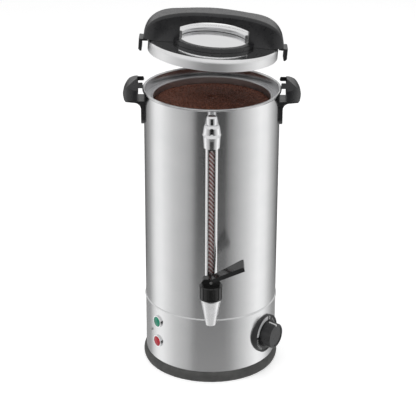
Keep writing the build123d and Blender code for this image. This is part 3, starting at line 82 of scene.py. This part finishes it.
def blank_finish(name):
    """A material with an empty node tree and its output node."""
    finish = bpy.data.materials.new(name)
    finish.use_nodes = True
    finish.node_tree.nodes.clear()
    return finish, finish.node_tree, finish.node_tree.nodes.new("ShaderNodeOutputMaterial")


def worked_out(tree, operation, *terms):
    """The result of a sum whose terms are sockets or plain numbers."""
    sum_node = tree.nodes.new("ShaderNodeMath")
    sum_node.operation = operation
    for term, socket in zip(terms, sum_node.inputs):
        if isinstance(term, bpy.types.NodeSocket):
            tree.links.new(term, socket)
        else:
            socket.default_value = term
    return sum_node.outputs[0]


def set_stops(ramp, stops):
    """Gives a colour ramp its stops, from places 0 to 1 and colours."""
    while len(ramp.color_ramp.elements) < len(stops):
        ramp.color_ramp.elements.new(0.5)
    for stop, (position, colour) in zip(ramp.color_ramp.elements, stops):
        stop.position = position
        stop.color = (*colour, 1)


def seen_directly(tree):
    """1 for rays from the camera, off metal or through glass, and 0 for rays that carry light."""
    path = tree.nodes.new("ShaderNodeLightPath")
    first = worked_out(tree, "MAXIMUM", path.outputs["Is Camera Ray"], path.outputs["Is Glossy Ray"])
    return worked_out(tree, "MAXIMUM", first, path.outputs["Is Transmission Ray"])


FLOOR_R = 9.0
FLOOR_SIDES = 96
FLOOR_GLOW = 0.50

floor_finish, tree, out = blank_finish("pale_floor")
plain = tree.nodes.new("ShaderNodeBsdfDiffuse")
plain.inputs["Color"].default_value = (0.80, 0.80, 0.80, 1)
glow = tree.nodes.new("ShaderNodeEmission")
glow.inputs["Strength"].default_value = FLOOR_GLOW
both = tree.nodes.new("ShaderNodeAddShader")
tree.links.new(plain.outputs[0], both.inputs[0])
tree.links.new(glow.outputs[0], both.inputs[1])
choose = tree.nodes.new("ShaderNodeMixShader")
tree.links.new(seen_directly(tree), choose.inputs[0])
tree.links.new(plain.outputs[0], choose.inputs[1])
tree.links.new(both.outputs[0], choose.inputs[2])
tree.links.new(choose.outputs[0], out.inputs[0])

points = [on_circle(FLOOR_R, math.tau * n / FLOOR_SIDES, 0.0) for n in range(FLOOR_SIDES)]
floor = new_mesh("floor", points, [tuple(range(FLOOR_SIDES))], smooth=False)
floor.visible_glossy = False
floor.data.materials.append(floor_finish)

TENT_R = 3.7
TENT_FOOT, TENT_TOP = -3.4, 0.6
TENT_SIDES = 180
# Bearing from the front in degrees, towards +X, and brightness there.
TENT_BRIGHTNESS = (
    (-170, 0.05), (-152, 0.20), (-131, 0.42), (-121, 0.74), (-110, 1.02), (-96, 1.06), (-80, 0.85),
    (-67, 0.68), (-55, 0.59), (-44, 0.51), (-33, 0.38), (-27, 0.17), (-22, 0.045), (-10, 0.02),
    (10, 0.02), (22, 0.035), (27, 0.18), (34, 0.33), (40, 0.42), (51, 0.58), (63, 0.74),
    (75, 0.92), (89, 1.12), (105, 1.04), (123, 0.62), (138, 0.36), (152, 0.16), (170, 0.05),
)
HEM_TOP, HEM_EDGE, HEM_BRIGHTNESS = -1.48, -1.64, 0.36
tent_finish, tree, out = blank_finish("tent_cloth")
spot = tree.nodes.new("ShaderNodeTexCoord")
split = tree.nodes.new("ShaderNodeSeparateXYZ")
tree.links.new(spot.outputs["Object"], split.inputs[0])
front = worked_out(tree, "MULTIPLY", split.outputs["Y"], -1.0)
around = worked_out(tree, "ARCTAN2", split.outputs["X"], front)
shade = tree.nodes.new("ShaderNodeValToRGB")
tree.links.new(worked_out(tree, "MULTIPLY_ADD", around, 1 / math.tau, 0.5), shade.inputs[0])
set_stops(shade, [(angle / 360 + 0.5, (value, value, value)) for angle, value in TENT_BRIGHTNESS])
hem = tree.nodes.new("ShaderNodeMapRange")
hem.inputs["From Min"].default_value, hem.inputs["From Max"].default_value = HEM_TOP, HEM_EDGE
hem.inputs["To Min"].default_value, hem.inputs["To Max"].default_value = 0.0, HEM_BRIGHTNESS
tree.links.new(split.outputs["Z"], hem.inputs["Value"])
cloth = tree.nodes.new("ShaderNodeEmission")
paler = worked_out(tree, "MAXIMUM", shade.outputs[0], hem.outputs["Result"])
tree.links.new(paler, cloth.inputs["Color"])
tree.links.new(cloth.outputs[0], out.inputs[0])

points, faces = [], []
for n in range(TENT_SIDES):
    points += [on_circle(TENT_R, math.tau * n / TENT_SIDES, z) for z in (TENT_FOOT, TENT_TOP)]
    m = (n + 1) % TENT_SIDES
    faces.append((2 * n, 2 * m, 2 * m + 1, 2 * n + 1))
tent = new_mesh("cloth_tent", points, faces, smooth=False)
tent.data.materials.append(tent_finish)
tent.visible_camera = False
tent.visible_diffuse = False
tent.visible_transmission = False
tent.visible_shadow = False

SKY_WHITE, SKY_LIGHT = 1.0, 0.55
sky = bpy.data.worlds.new("studio")
bpy.context.scene.world = sky
sky.use_nodes = True
tree = sky.node_tree
tree.nodes.clear()
out = tree.nodes.new("ShaderNodeOutputWorld")
white = tree.nodes.new("ShaderNodeBackground")
white.inputs["Strength"].default_value = SKY_WHITE
soft = tree.nodes.new("ShaderNodeBackground")
soft.inputs["Strength"].default_value = SKY_LIGHT
choose = tree.nodes.new("ShaderNodeMixShader")
tree.links.new(seen_directly(tree), choose.inputs[0])
tree.links.new(soft.outputs[0], choose.inputs[1])
tree.links.new(white.outputs[0], choose.inputs[2])
tree.links.new(choose.outputs[0], out.inputs[0])

# Name, place and width in metres, and power in watts.
LAMPS = (
    ("key_lamp", (-1.5, -1.3, 2.3), 1.6, 28.0),
    ("top_lamp", (0.5, 0.9, 2.6), 1.8, 18.0),
    ("front_lamp", (0.3, -2.1, 0.7), 0.8, 9.0),
)
LAMP_AIM = Vector((0, 0, 0.3))
for name, place, size, power in LAMPS:
    lamp_data = bpy.data.lights.new(name, "AREA")
    lamp_data.shape = "DISK"
    lamp_data.size = size
    lamp_data.energy = power
    lamp = bpy.data.objects.new(name, lamp_data)
    lamp.location = place
    lamp.rotation_euler = (LAMP_AIM - Vector(place)).to_track_quat("-Z", "Y").to_euler()
    lamp.visible_glossy = False
    bpy.context.scene.collection.objects.link(lamp)


# ---- base ring, pads and bottom cover ----
# The base is a ring of black phenolic with a coarse moulded grain, which the steel skirt stands in.
# Four rubber pads and a pressed steel cover with vent slots close it from below.

def shader_of(tree, out, **sockets):
    """The one shader of a finish, with its plain values set on its own sockets."""
    shader = tree.nodes.new("ShaderNodeBsdfPrincipled")
    for name, value in sockets.items():
        shader.inputs[name.replace("_", " ")].default_value = value
    tree.links.new(shader.outputs[0], out.inputs[0])
    return shader


def grain(tree, size, stretch=(1, 1, 1), detail=3.0, rough=0.5):
    """A noise over the piece's own metres: size is its feature size, stretch draws it out along an axis."""
    coords = tree.nodes.new("ShaderNodeTexCoord")
    place = tree.nodes.new("ShaderNodeMapping")
    place.inputs["Scale"].default_value = [1 / (size * s) for s in stretch]
    tree.links.new(coords.outputs["Object"], place.inputs["Vector"])
    texture = tree.nodes.new("ShaderNodeTexNoise")
    texture.inputs["Scale"].default_value = 1.0
    texture.inputs["Detail"].default_value = detail
    texture.inputs["Roughness"].default_value = rough
    tree.links.new(place.outputs[0], texture.inputs["Vector"])
    return texture.outputs["Fac"]


def between(tree, source, socket, low, high, edges=(0.3, 0.7)):
    """Turns a 0 to 1 pattern into a value from low to high on a shader's socket."""
    spread = tree.nodes.new("ShaderNodeMapRange")
    spread.inputs["From Min"].default_value, spread.inputs["From Max"].default_value = edges
    spread.inputs["To Min"].default_value, spread.inputs["To Max"].default_value = low, high
    tree.links.new(source, spread.inputs["Value"])
    tree.links.new(spread.outputs["Result"], socket)


def blotch(tree, source, socket, dark, pale, edges=(0.3, 0.7)):
    """Turns a 0 to 1 pattern into a colour between two others."""
    ramp = tree.nodes.new("ShaderNodeValToRGB")
    ramp.color_ramp.elements[0].position, ramp.color_ramp.elements[1].position = edges
    ramp.color_ramp.elements[0].color = (*dark, 1)
    ramp.color_ramp.elements[1].color = (*pale, 1)
    tree.links.new(source, ramp.inputs[0])
    tree.links.new(ramp.outputs[0], socket)


def raise_up(tree, source, shader, height):
    """Bump of a given height in metres."""
    bump = tree.nodes.new("ShaderNodeBump")
    bump.inputs["Strength"].default_value = 1.0
    bump.inputs["Distance"].default_value = height
    tree.links.new(source, bump.inputs["Height"])
    tree.links.new(bump.outputs[0], shader.inputs["Normal"])


def dress(finish, *names):
    """Gives a finish to pieces of the frame."""
    for name in names:
        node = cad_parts[name]
        node.data.materials.clear()
        node.data.materials.append(finish)


def moulded_plastic(name, dark, pale, rough, grain_size, grain_height):
    """Satin moulded plastic: slightly uneven colour and gloss, and a fine etched grain."""
    finish, tree, out = blank_finish(name)
    shader = shader_of(tree, out)
    blotch(tree, grain(tree, 0.02), shader.inputs["Base Color"], dark, pale)
    between(tree, grain(tree, 0.006, detail=5), shader.inputs["Roughness"], rough - 0.05, rough + 0.06)
    raise_up(tree, grain(tree, grain_size, detail=2), shader, grain_height)
    return finish


def satin_metal(name, dark, pale, rough, brush=(1, 1, 1), brush_size=0.0008, brush_height=0.000004):
    """Bare metal with a faint tool grain along one direction and soft wipe marks."""
    finish, tree, out = blank_finish(name)
    shader = shader_of(tree, out, Metallic=1.0)
    blotch(tree, grain(tree, 0.03, detail=4), shader.inputs["Base Color"], dark, pale)
    between(tree, grain(tree, 0.012, detail=6), shader.inputs["Roughness"], rough * 0.8, rough * 1.25)
    raise_up(tree, grain(tree, brush_size, brush, detail=2), shader, brush_height)
    return finish


base_black = moulded_plastic("base_black", (0.045, 0.045, 0.044), (0.075, 0.075, 0.072), 0.55,
                             0.0016, 0.00012)
pad_rubber = moulded_plastic("pad_rubber", (0.02, 0.02, 0.02), (0.035, 0.035, 0.035), 0.7, 0.0006, 0.00003)
cover_steel = satin_metal("cover_steel", (0.52, 0.52, 0.53), (0.62, 0.62, 0.63), 0.4, (25, 1, 1))
screw_steel = satin_metal("screw_steel", (0.5, 0.5, 0.5), (0.66, 0.66, 0.66), 0.3)
dress(base_black, "base_ring")
dress(pad_rubber, "rubber_pads")
dress(cover_steel, "bottom_cover")
dress(screw_steel, "bottom_screws")


# ---- body: skirt, shell and rim ----
# Stainless sheet, rolled and seamed, with a fine brushed grain that runs round the body.
# The rim is a rolled collar on the same sheet; the skirt is held by two screws.

def brushed_body(name, dark, pale, rough, spread):
    """Sheet steel brushed round the body, so that lights draw out up and down it."""
    finish, tree, out = blank_finish(name)
    shader = shader_of(tree, out, Metallic=1.0, Anisotropic=spread, Anisotropic_Rotation=0.25)
    turn = tree.nodes.new("ShaderNodeTangent")
    turn.direction_type = "RADIAL"
    turn.axis = "Z"
    tree.links.new(turn.outputs[0], shader.inputs["Tangent"])
    blotch(tree, grain(tree, 0.05, (1, 1, 0.6), detail=4), shader.inputs["Base Color"], dark, pale)
    brushing = grain(tree, 0.0011, (60, 60, 1), detail=3)
    between(tree, brushing, shader.inputs["Roughness"], rough * 0.94, rough * 1.06)
    raise_up(tree, grain(tree, 0.0007, (80, 80, 1), detail=2), shader, 0.0000012)
    return finish


body_steel = brushed_body("body_steel", (0.76, 0.765, 0.77), (0.79, 0.79, 0.795), 0.20, 0.8)
rim_steel = brushed_body("rim_steel", (0.36, 0.36, 0.37), (0.72, 0.72, 0.72), 0.22, 0.2)
dress(body_steel, "outer_shell", "base_skirt")
dress(rim_steel, "rim_ring")
dress(screw_steel, "skirt_screws")


# ---- pot and heater ----
# The inner pot is deep-drawn and left satin, and the pump's tube and bell stand in its well. Under it lie a
# cast spreader, the bent heating element and a cut-out. The electrical blocks are pale moulded plastic.

pot_steel = brushed_body("pot_steel", (0.60, 0.60, 0.61), (0.70, 0.70, 0.71), 0.34, 0.3)
cast_metal = satin_metal("cast_metal", (0.42, 0.42, 0.43), (0.55, 0.55, 0.55), 0.5, brush_size=0.002)
element_metal = satin_metal("element_metal", (0.16, 0.14, 0.13), (0.30, 0.28, 0.26), 0.5)
socket_plastic = moulded_plastic("socket_plastic", (0.62, 0.60, 0.54), (0.72, 0.70, 0.65), 0.5,
                                 0.0008, 0.00002)
dress(pot_steel, "inner_pot", "pump_tube", "pump_bell", "valve_disc")
dress(cast_metal, "heat_spreader", "thermal_cutout")
dress(element_metal, "heating_element")
dress(socket_plastic, "terminal_block", "thermostat_body", "lamp_sockets")
dress(pot_steel, "thermostat_sensor")


# ---- thermostat dial and knob ----
# A round black phenolic dial on the skirt, printed with a silver sector, a 0 and pale marks.
# A tapered black knob with a pale pointer line turns in front of it, on the thermostat's spindle.

satin_black = moulded_plastic("satin_black", (0.014, 0.014, 0.015), (0.022, 0.022, 0.023), 0.30,
                              0.0007, 0.00001)
dial_black = moulded_plastic("dial_black", (0.018, 0.018, 0.019), (0.030, 0.030, 0.031), 0.42,
                             0.0006, 0.00002)
pale_trim = moulded_plastic("pale_trim", (0.70, 0.70, 0.70), (0.80, 0.80, 0.80), 0.28, 0.0009, 0.00001)
dial_silver = moulded_plastic("dial_silver", (0.60, 0.61, 0.62), (0.72, 0.72, 0.73), 0.34, 0.0009, 0.00001)

DIAL_BEARING = 56.0
DIAL_Z = 0.070
DIAL_FACE = 0.1176
PRINT_T = 0.00025


def on_wall(bearing, height, radius):
    """A place on the body's side: its X runs right, Y up and Z outwards."""
    a = math.radians(bearing)
    right = Vector((math.cos(a), math.sin(a), 0))
    out = Vector((math.sin(a), -math.cos(a), 0))
    place = Matrix((right, Vector((0, 0, 1)), out)).transposed().to_4x4()
    place.translation = out * radius + Vector((0, 0, height))
    return place


def plate(name, outlines, thick, place, finish, body):
    """Thin flat pieces from closed outlines in millimetres, lying on a place."""
    points, faces = [], []
    for outline in outlines:
        start, count = len(points), len(outline)
        for z in (0.0, thick):
            points += [place @ Vector((x / 1000, y / 1000, z)) for x, y in outline]
        faces.append(tuple(range(start + count - 1, start - 1, -1)))
        faces.append(tuple(range(start + count, start + 2 * count)))
        for n in range(count):
            m = (n + 1) % count
            faces.append((start + n, start + m, start + count + m, start + count + n))
    piece = new_mesh(name, points, faces, smooth=False)
    piece.data.materials.append(finish)
    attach(piece, body)


def arc_strip(inner, outer, first, last, steps):
    """The outline of a piece of a ring. Angles are clockwise from the top, seen from in front."""
    angles = [math.radians(first + (last - first) * n / steps) for n in range(steps + 1)]
    rim = [(outer * math.sin(a), outer * math.cos(a)) for a in angles]
    hub = [(inner * math.sin(a), inner * math.cos(a)) for a in reversed(angles)]
    return list(reversed(rim + hub))


def dial_tick(angle, inner, outer, half_w):
    """The outline of a mark that points at the knob. The angle is clockwise from the top."""
    a = math.radians(angle)
    along, across = Vector((math.sin(a), math.cos(a))), Vector((math.cos(a), -math.sin(a)))
    corners = [along * inner - across * half_w, along * inner + across * half_w,
               along * outer + across * half_w, along * outer - across * half_w]
    return [tuple(corner) for corner in corners]


def figure_zero(x, y, half_w, half_h, line, steps=20):
    """The figure 0 as a ring of four-sided pieces round an oval."""
    strips = []
    for n in range(steps):
        quad = []
        for k, grow in ((n, 0.0), (n, line), (n + 1, line), (n + 1, 0.0)):
            a = math.tau * k / steps
            wide, high = half_w - line + grow, half_h - line + grow
            quad.append((x + wide * math.cos(a), y + high * math.sin(a)))
        strips.append(quad)
    return strips


# Sizes on the dial are in millimetres from its middle, and angles in degrees clockwise from its top.
SECTOR_IN, SECTOR_OUT = 24.0, 31.8
SECTOR_FIRST, SECTOR_LAST, SECTOR_STEPS = -84, 10, 32
ZERO_R, ZERO_ANGLE = 28.6, 22
ZERO_HALF_W, ZERO_HALF_H, ZERO_LINE = 2.0, 3.0, 0.8
TICK_IN, TICK_OUT, TICK_HALF_W = 26.5, 30.5, 0.35
TICK_ANGLES = (*range(-150, -94, 9), *range(46, 160, 13))

dial_place = on_wall(DIAL_BEARING, DIAL_Z, DIAL_FACE)
sector = arc_strip(SECTOR_IN, SECTOR_OUT, SECTOR_FIRST, SECTOR_LAST, SECTOR_STEPS)
plate("dial_sector", [sector], PRINT_T, dial_place, dial_silver, "urn")
zero_a = math.radians(ZERO_ANGLE)
zero_x, zero_y = ZERO_R * math.sin(zero_a), ZERO_R * math.cos(zero_a)
figures = figure_zero(zero_x, zero_y, ZERO_HALF_W, ZERO_HALF_H, ZERO_LINE)
figures += [dial_tick(angle, TICK_IN, TICK_OUT, TICK_HALF_W) for angle in TICK_ANGLES]
plate("dial_marks", figures, PRINT_T, dial_place, pale_trim, "urn")
dress(dial_black, "dial_bezel")
dress(satin_black, "thermostat_knob")
dress(pale_trim, "knob_pointer")
dress(screw_steel, "thermostat_screws", "thermostat_spindle")


# ---- lamps ----
# Two round signal lamps on the skirt, green over red.
# Each is a moulded acrylic lens in a chromed bezel that snaps into the sheet.

chrome = satin_metal("chrome", (0.80, 0.80, 0.81), (0.86, 0.86, 0.87), 0.13,
                     brush_size=0.004, brush_height=0.000002)


def lens_finish(name, deep, lit):
    """Coloured acrylic with a fine moulded texture under a clear, domed face."""
    finish, tree, out = blank_finish(name)
    shader = shader_of(tree, out, Roughness=0.16, Specular_IOR_Level=0.35,
                       Coat_Weight=0.15, Coat_Roughness=0.05)
    blotch(tree, grain(tree, 0.004, detail=2), shader.inputs["Base Color"], deep, lit)
    raise_up(tree, grain(tree, 0.0015, detail=1), shader, 0.00006)
    return finish


dress(lens_finish("green_lens_colour", (0.002, 0.17, 0.10), (0.01, 0.30, 0.18)), "green_lens")
dress(lens_finish("red_lens_colour", (0.34, 0.006, 0.015), (0.56, 0.016, 0.04)), "red_lens")
dress(chrome, "lamp_bezels")


# ---- power inlet ----
# A black moulded inlet for a loose lead, let into the back of the skirt.
# Two screws hold it, and three brass pins stand in its well.

pin_brass = satin_metal("pin_brass", (0.62, 0.44, 0.18), (0.74, 0.55, 0.25), 0.28)
dress(satin_black, "power_inlet")
dress(pin_brass, "inlet_pins")
dress(screw_steel, "inlet_screws")


# ---- side handles ----
# Hollow grips of black phenolic on broad stems, one at each side, held by screws from inside the body.
# A slot in each lip takes an end of the lid's handle.

dress(satin_black, "left_handle", "right_handle")
dress(screw_steel, "handle_screws")


# ---- sight gauge ----
# A chromed channel guards a glass tube that is sealed into the tap and the head.
# A striped strip behind the glass shows the level: the liquid swells the stripes.

shield_chrome = satin_metal("shield_chrome", (0.84, 0.84, 0.85), (0.88, 0.88, 0.88), 0.2, (1, 1, 30))
dress(shield_chrome, "gauge_shield")
dress(chrome, "gauge_head", "gauge_plug")
dress(screw_steel, "gauge_nut")
dress(pad_rubber, "gauge_seals")

glass, tree, out = blank_finish("gauge_glass")
shader = shader_of(tree, out, Alpha=0.05, IOR=1.45, Base_Color=(0.90, 0.94, 0.93, 1))
between(tree, grain(tree, 0.01), shader.inputs["Roughness"], 0.02, 0.05)
dress(glass, "gauge_tube")

STRIPE_PITCH = 0.0075
STRIPE_SLOPE = 1.1
STRIPE_RED, STRIPE_PALE = (0.26, 0.004, 0.006), (0.95, 0.80, 0.77)
STRIPE_STOPS = (
    (0.0, STRIPE_RED), (0.52, STRIPE_RED), (0.60, STRIPE_PALE), (0.94, STRIPE_PALE), (1.0, STRIPE_RED),
)
stripes, tree, out = blank_finish("gauge_stripes")
shader = shader_of(tree, out, Roughness=0.35)
coords = tree.nodes.new("ShaderNodeTexCoord")
split = tree.nodes.new("ShaderNodeSeparateXYZ")
tree.links.new(coords.outputs["Object"], split.inputs[0])
slope = worked_out(tree, "MULTIPLY_ADD", split.outputs["X"], STRIPE_SLOPE, split.outputs["Z"])
laps = worked_out(tree, "DIVIDE", slope, STRIPE_PITCH)
ramp = tree.nodes.new("ShaderNodeValToRGB")
set_stops(ramp, STRIPE_STOPS)
tree.links.new(worked_out(tree, "FRACT", laps), ramp.inputs[0])
tree.links.new(ramp.outputs[0], shader.inputs["Base Color"])
dress(stripes, "gauge_stripe")


# ---- tap ----
# A chromed tapered spout on a shank through both walls, with a ribbed black bonnet and a paddle lever.
# The lever's cam lifts a steel stem, and with it the rubber cup that seals the spout.

spout_chrome = satin_metal("spout_chrome", (0.84, 0.84, 0.85), (0.90, 0.90, 0.90), 0.26, brush_size=0.003)
dress(spout_chrome, "tap_body")
gloss_black = moulded_plastic("gloss_black", (0.004, 0.004, 0.004), (0.008, 0.008, 0.008), 0.16,
                              0.0012, 0.00001)
dress(gloss_black, "tap_bonnet", "tap_lever")
dress(pad_rubber, "tap_washers", "tap_seat_cup")
dress(screw_steel, "tap_nut", "tap_pin", "tap_spring", "tap_stem")


# ---- basket and ground coffee ----
# The lift-out basket is thin drawn steel with a rolled bead. It holds a heap of coarse ground coffee.

basket_steel = brushed_body("basket_steel", (0.46, 0.46, 0.47), (0.58, 0.58, 0.58), 0.38, 0.2)
dress(basket_steel, "coffee_basket")

HEAP_R = 0.0990
HEAP_EDGE_Z = 0.4755
HEAP_RISE = 0.0100
HEAP_FLOOR_Z = 0.4660
TUBE_HOLE_R = 0.0065
# Level of the noise, swells to a metre, and their height.
LUMPS = (0.3, 55, 0.0011)
CLODS = (1.7, 190, 0.0009)
GROUNDS = (2.9, 620, 0.0011)


def swell(x, y, level, per_metre, height):
    """Soft rises and dips at a place on the heap."""
    return noise.noise(Vector((x, y, level)) * per_metre) * height


def heap_height(x, y):
    """The heap's surface: a low mound with soft lumps and coarse grounds."""
    share = min(math.hypot(x, y) / HEAP_R, 1.0)
    rough = swell(x, y, *LUMPS) + swell(x, y, *CLODS) + abs(swell(x, y, *GROUNDS))
    return HEAP_EDGE_Z + HEAP_RISE * (1 - share ** 2) + rough * (1.0 - 0.5 * share)


points, faces = [], []
RINGS, SPOKES = 84, 300
for ring in range(RINGS + 1):
    radius = TUBE_HOLE_R + (HEAP_R - TUBE_HOLE_R) * ring / RINGS
    for spoke in range(SPOKES):
        a = math.tau * (spoke + 0.5 * (ring % 2)) / SPOKES
        x, y = radius * math.cos(a), radius * math.sin(a)
        points.append((x, y, heap_height(x, y)))
for ring in range(RINGS):
    for spoke in range(SPOKES):
        step = (spoke + 1) % SPOKES
        low, high = ring * SPOKES, (ring + 1) * SPOKES
        faces.append((low + spoke, high + spoke, high + step, low + step))
inner_low, outer_low = len(points), len(points) + SPOKES
for radius in (TUBE_HOLE_R, HEAP_R):
    points += [on_circle(radius, math.tau * spoke / SPOKES, HEAP_FLOOR_Z) for spoke in range(SPOKES)]
for spoke in range(SPOKES):
    step = (spoke + 1) % SPOKES
    last = RINGS * SPOKES
    faces.append((spoke, step, inner_low + step, inner_low + spoke))
    faces.append((last + step, last + spoke, outer_low + spoke, outer_low + step))
    faces.append((inner_low + step, outer_low + step, outer_low + spoke, inner_low + spoke))
heap = new_mesh("ground_coffee", points, faces)

CRUMB_COUNT = 1500
CRUMB_REACH, CRUMB_CLEAR = 0.965, 0.012
CRUMB_HALVES = (0.0004, 0.0009)
CRUMB_CORNERS = ((1, 1, 1), (1, -1, -1), (-1, 1, -1), (-1, -1, 1))
CRUMB_SPREAD = (0.6, 1.2)
CRUMB_PROUD = 0.3
random.seed(7)
points, faces = [], []
for _ in range(CRUMB_COUNT):
    a = random.uniform(0, math.tau)
    radius = HEAP_R * CRUMB_REACH * math.sqrt(random.uniform(CRUMB_CLEAR, 1))
    x, y = radius * math.cos(a), radius * math.sin(a)
    half = random.uniform(*CRUMB_HALVES)
    middle = Vector((x, y, heap_height(x, y) + half * CRUMB_PROUD))
    start = len(points)
    turn = Matrix.Rotation(random.uniform(0, math.tau), 3, random.choice("XYZ"))
    for corner in CRUMB_CORNERS:
        points.append(middle + turn @ Vector(corner) * half * random.uniform(*CRUMB_SPREAD))
    faces += [(start, start + 1, start + 2), (start, start + 3, start + 1),
              (start, start + 2, start + 3), (start + 1, start + 3, start + 2)]
crumbs = new_mesh("coffee_crumbs", points, faces, smooth=False)

COFFEE_DARK, COFFEE_PALE = (0.030, 0.009, 0.005), (0.42, 0.165, 0.105)
coffee, tree, out = blank_finish("coffee_grounds")
shader = shader_of(tree, out, Roughness=0.7, Specular_IOR_Level=0.2)
specks = grain(tree, 0.0016, detail=4, rough=0.7)
blotch(tree, specks, shader.inputs["Base Color"], COFFEE_DARK, COFFEE_PALE, (0.42, 0.74))
raise_up(tree, grain(tree, 0.0009, detail=3, rough=0.7), shader, 0.0005)
for piece in (heap, crumbs):
    piece.data.materials.append(coffee)
    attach(piece, "basket")
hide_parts("coffee_grounds")


# ---- lid ----
# A drawn steel pan with its edge turned in, polished on top and left satin on its wall. The black arched
# handle turns on it, on four screws in its flange, to lock under the side grips.
# A polished cover is pressed over the back of the flange.

lid_steel, tree, out = blank_finish("lid_steel")
shader = shader_of(tree, out, Metallic=1.0)
patches = grain(tree, 0.03, detail=4)
blotch(tree, patches, shader.inputs["Base Color"], (0.84, 0.84, 0.85), (0.88, 0.88, 0.88))
raise_up(tree, grain(tree, 0.02, detail=2), shader, 0.000004)
facing = tree.nodes.new("ShaderNodeTexCoord")
split = tree.nodes.new("ShaderNodeSeparateXYZ")
tree.links.new(facing.outputs["Normal"], split.inputs[0])
between(tree, split.outputs["Z"], shader.inputs["Roughness"], 0.44, 0.06, (0.35, 0.85))
dress(lid_steel, "lid_shell")
dress(satin_black, "lid_handle")

LIFT_ARM, LIFT_ARM_Z, LIFT_BEARING, LID_RAISED = 1.075, 0.515, 95.0, 4.0
FLANGE_FOOT = 0.50730
COVER_END_Y = 0.0226
COVER_STEPS = 48
# Distances from the lid's axis and heights over the flange's foot, in millimetres.
COVER_PROFILE = (
    (57.85, 0.5), (57.85, 5.4), (58.5, 6.6), (59.7, 7.2), (68.3, 7.2), (69.5, 6.6), (70.15, 5.4),
    (70.15, 0.5), (69.4, 0.5), (69.4, 5.0), (68.0, 6.4), (60.0, 6.4), (58.6, 5.0), (58.6, 0.5),
)


def raised_lid():
    """Takes the closed, level lid to its raised and tipped rest pose."""
    a = math.radians(LIFT_BEARING)
    hinge = Vector((LIFT_ARM * math.sin(a), -LIFT_ARM * math.cos(a), LIFT_ARM_Z))
    tip = Matrix.Rotation(math.radians(LID_RAISED), 4, Vector((math.cos(a), math.sin(a), 0)))
    return Matrix.Translation(hinge) @ tip @ Matrix.Translation(-hinge)


lid_place = raised_lid()
points, faces = [], []
for step in range(COVER_STEPS + 1):
    for radius, height in COVER_PROFILE:
        end = math.asin(COVER_END_Y / (radius / 1000))
        a = end + (math.pi - 2 * end) * step / COVER_STEPS
        points.append(lid_place @ Vector(on_circle(radius / 1000, a, FLANGE_FOOT + height / 1000)))
corners = len(COVER_PROFILE)
for step in range(COVER_STEPS):
    low, high = step * corners, (step + 1) * corners
    for n in range(corners):
        m = (n + 1) % corners
        faces.append((low + n, low + m, high + m, high + n))
faces.append(tuple(range(corners - 1, -1, -1)))
faces.append(tuple(range(COVER_STEPS * corners, (COVER_STEPS + 1) * corners)))
cover = new_mesh("flange_cover", points, faces)
cover.data.materials.append(lid_steel)
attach(cover, "lid_grip")
dress(screw_steel, "lid_screws", "lid_washers")
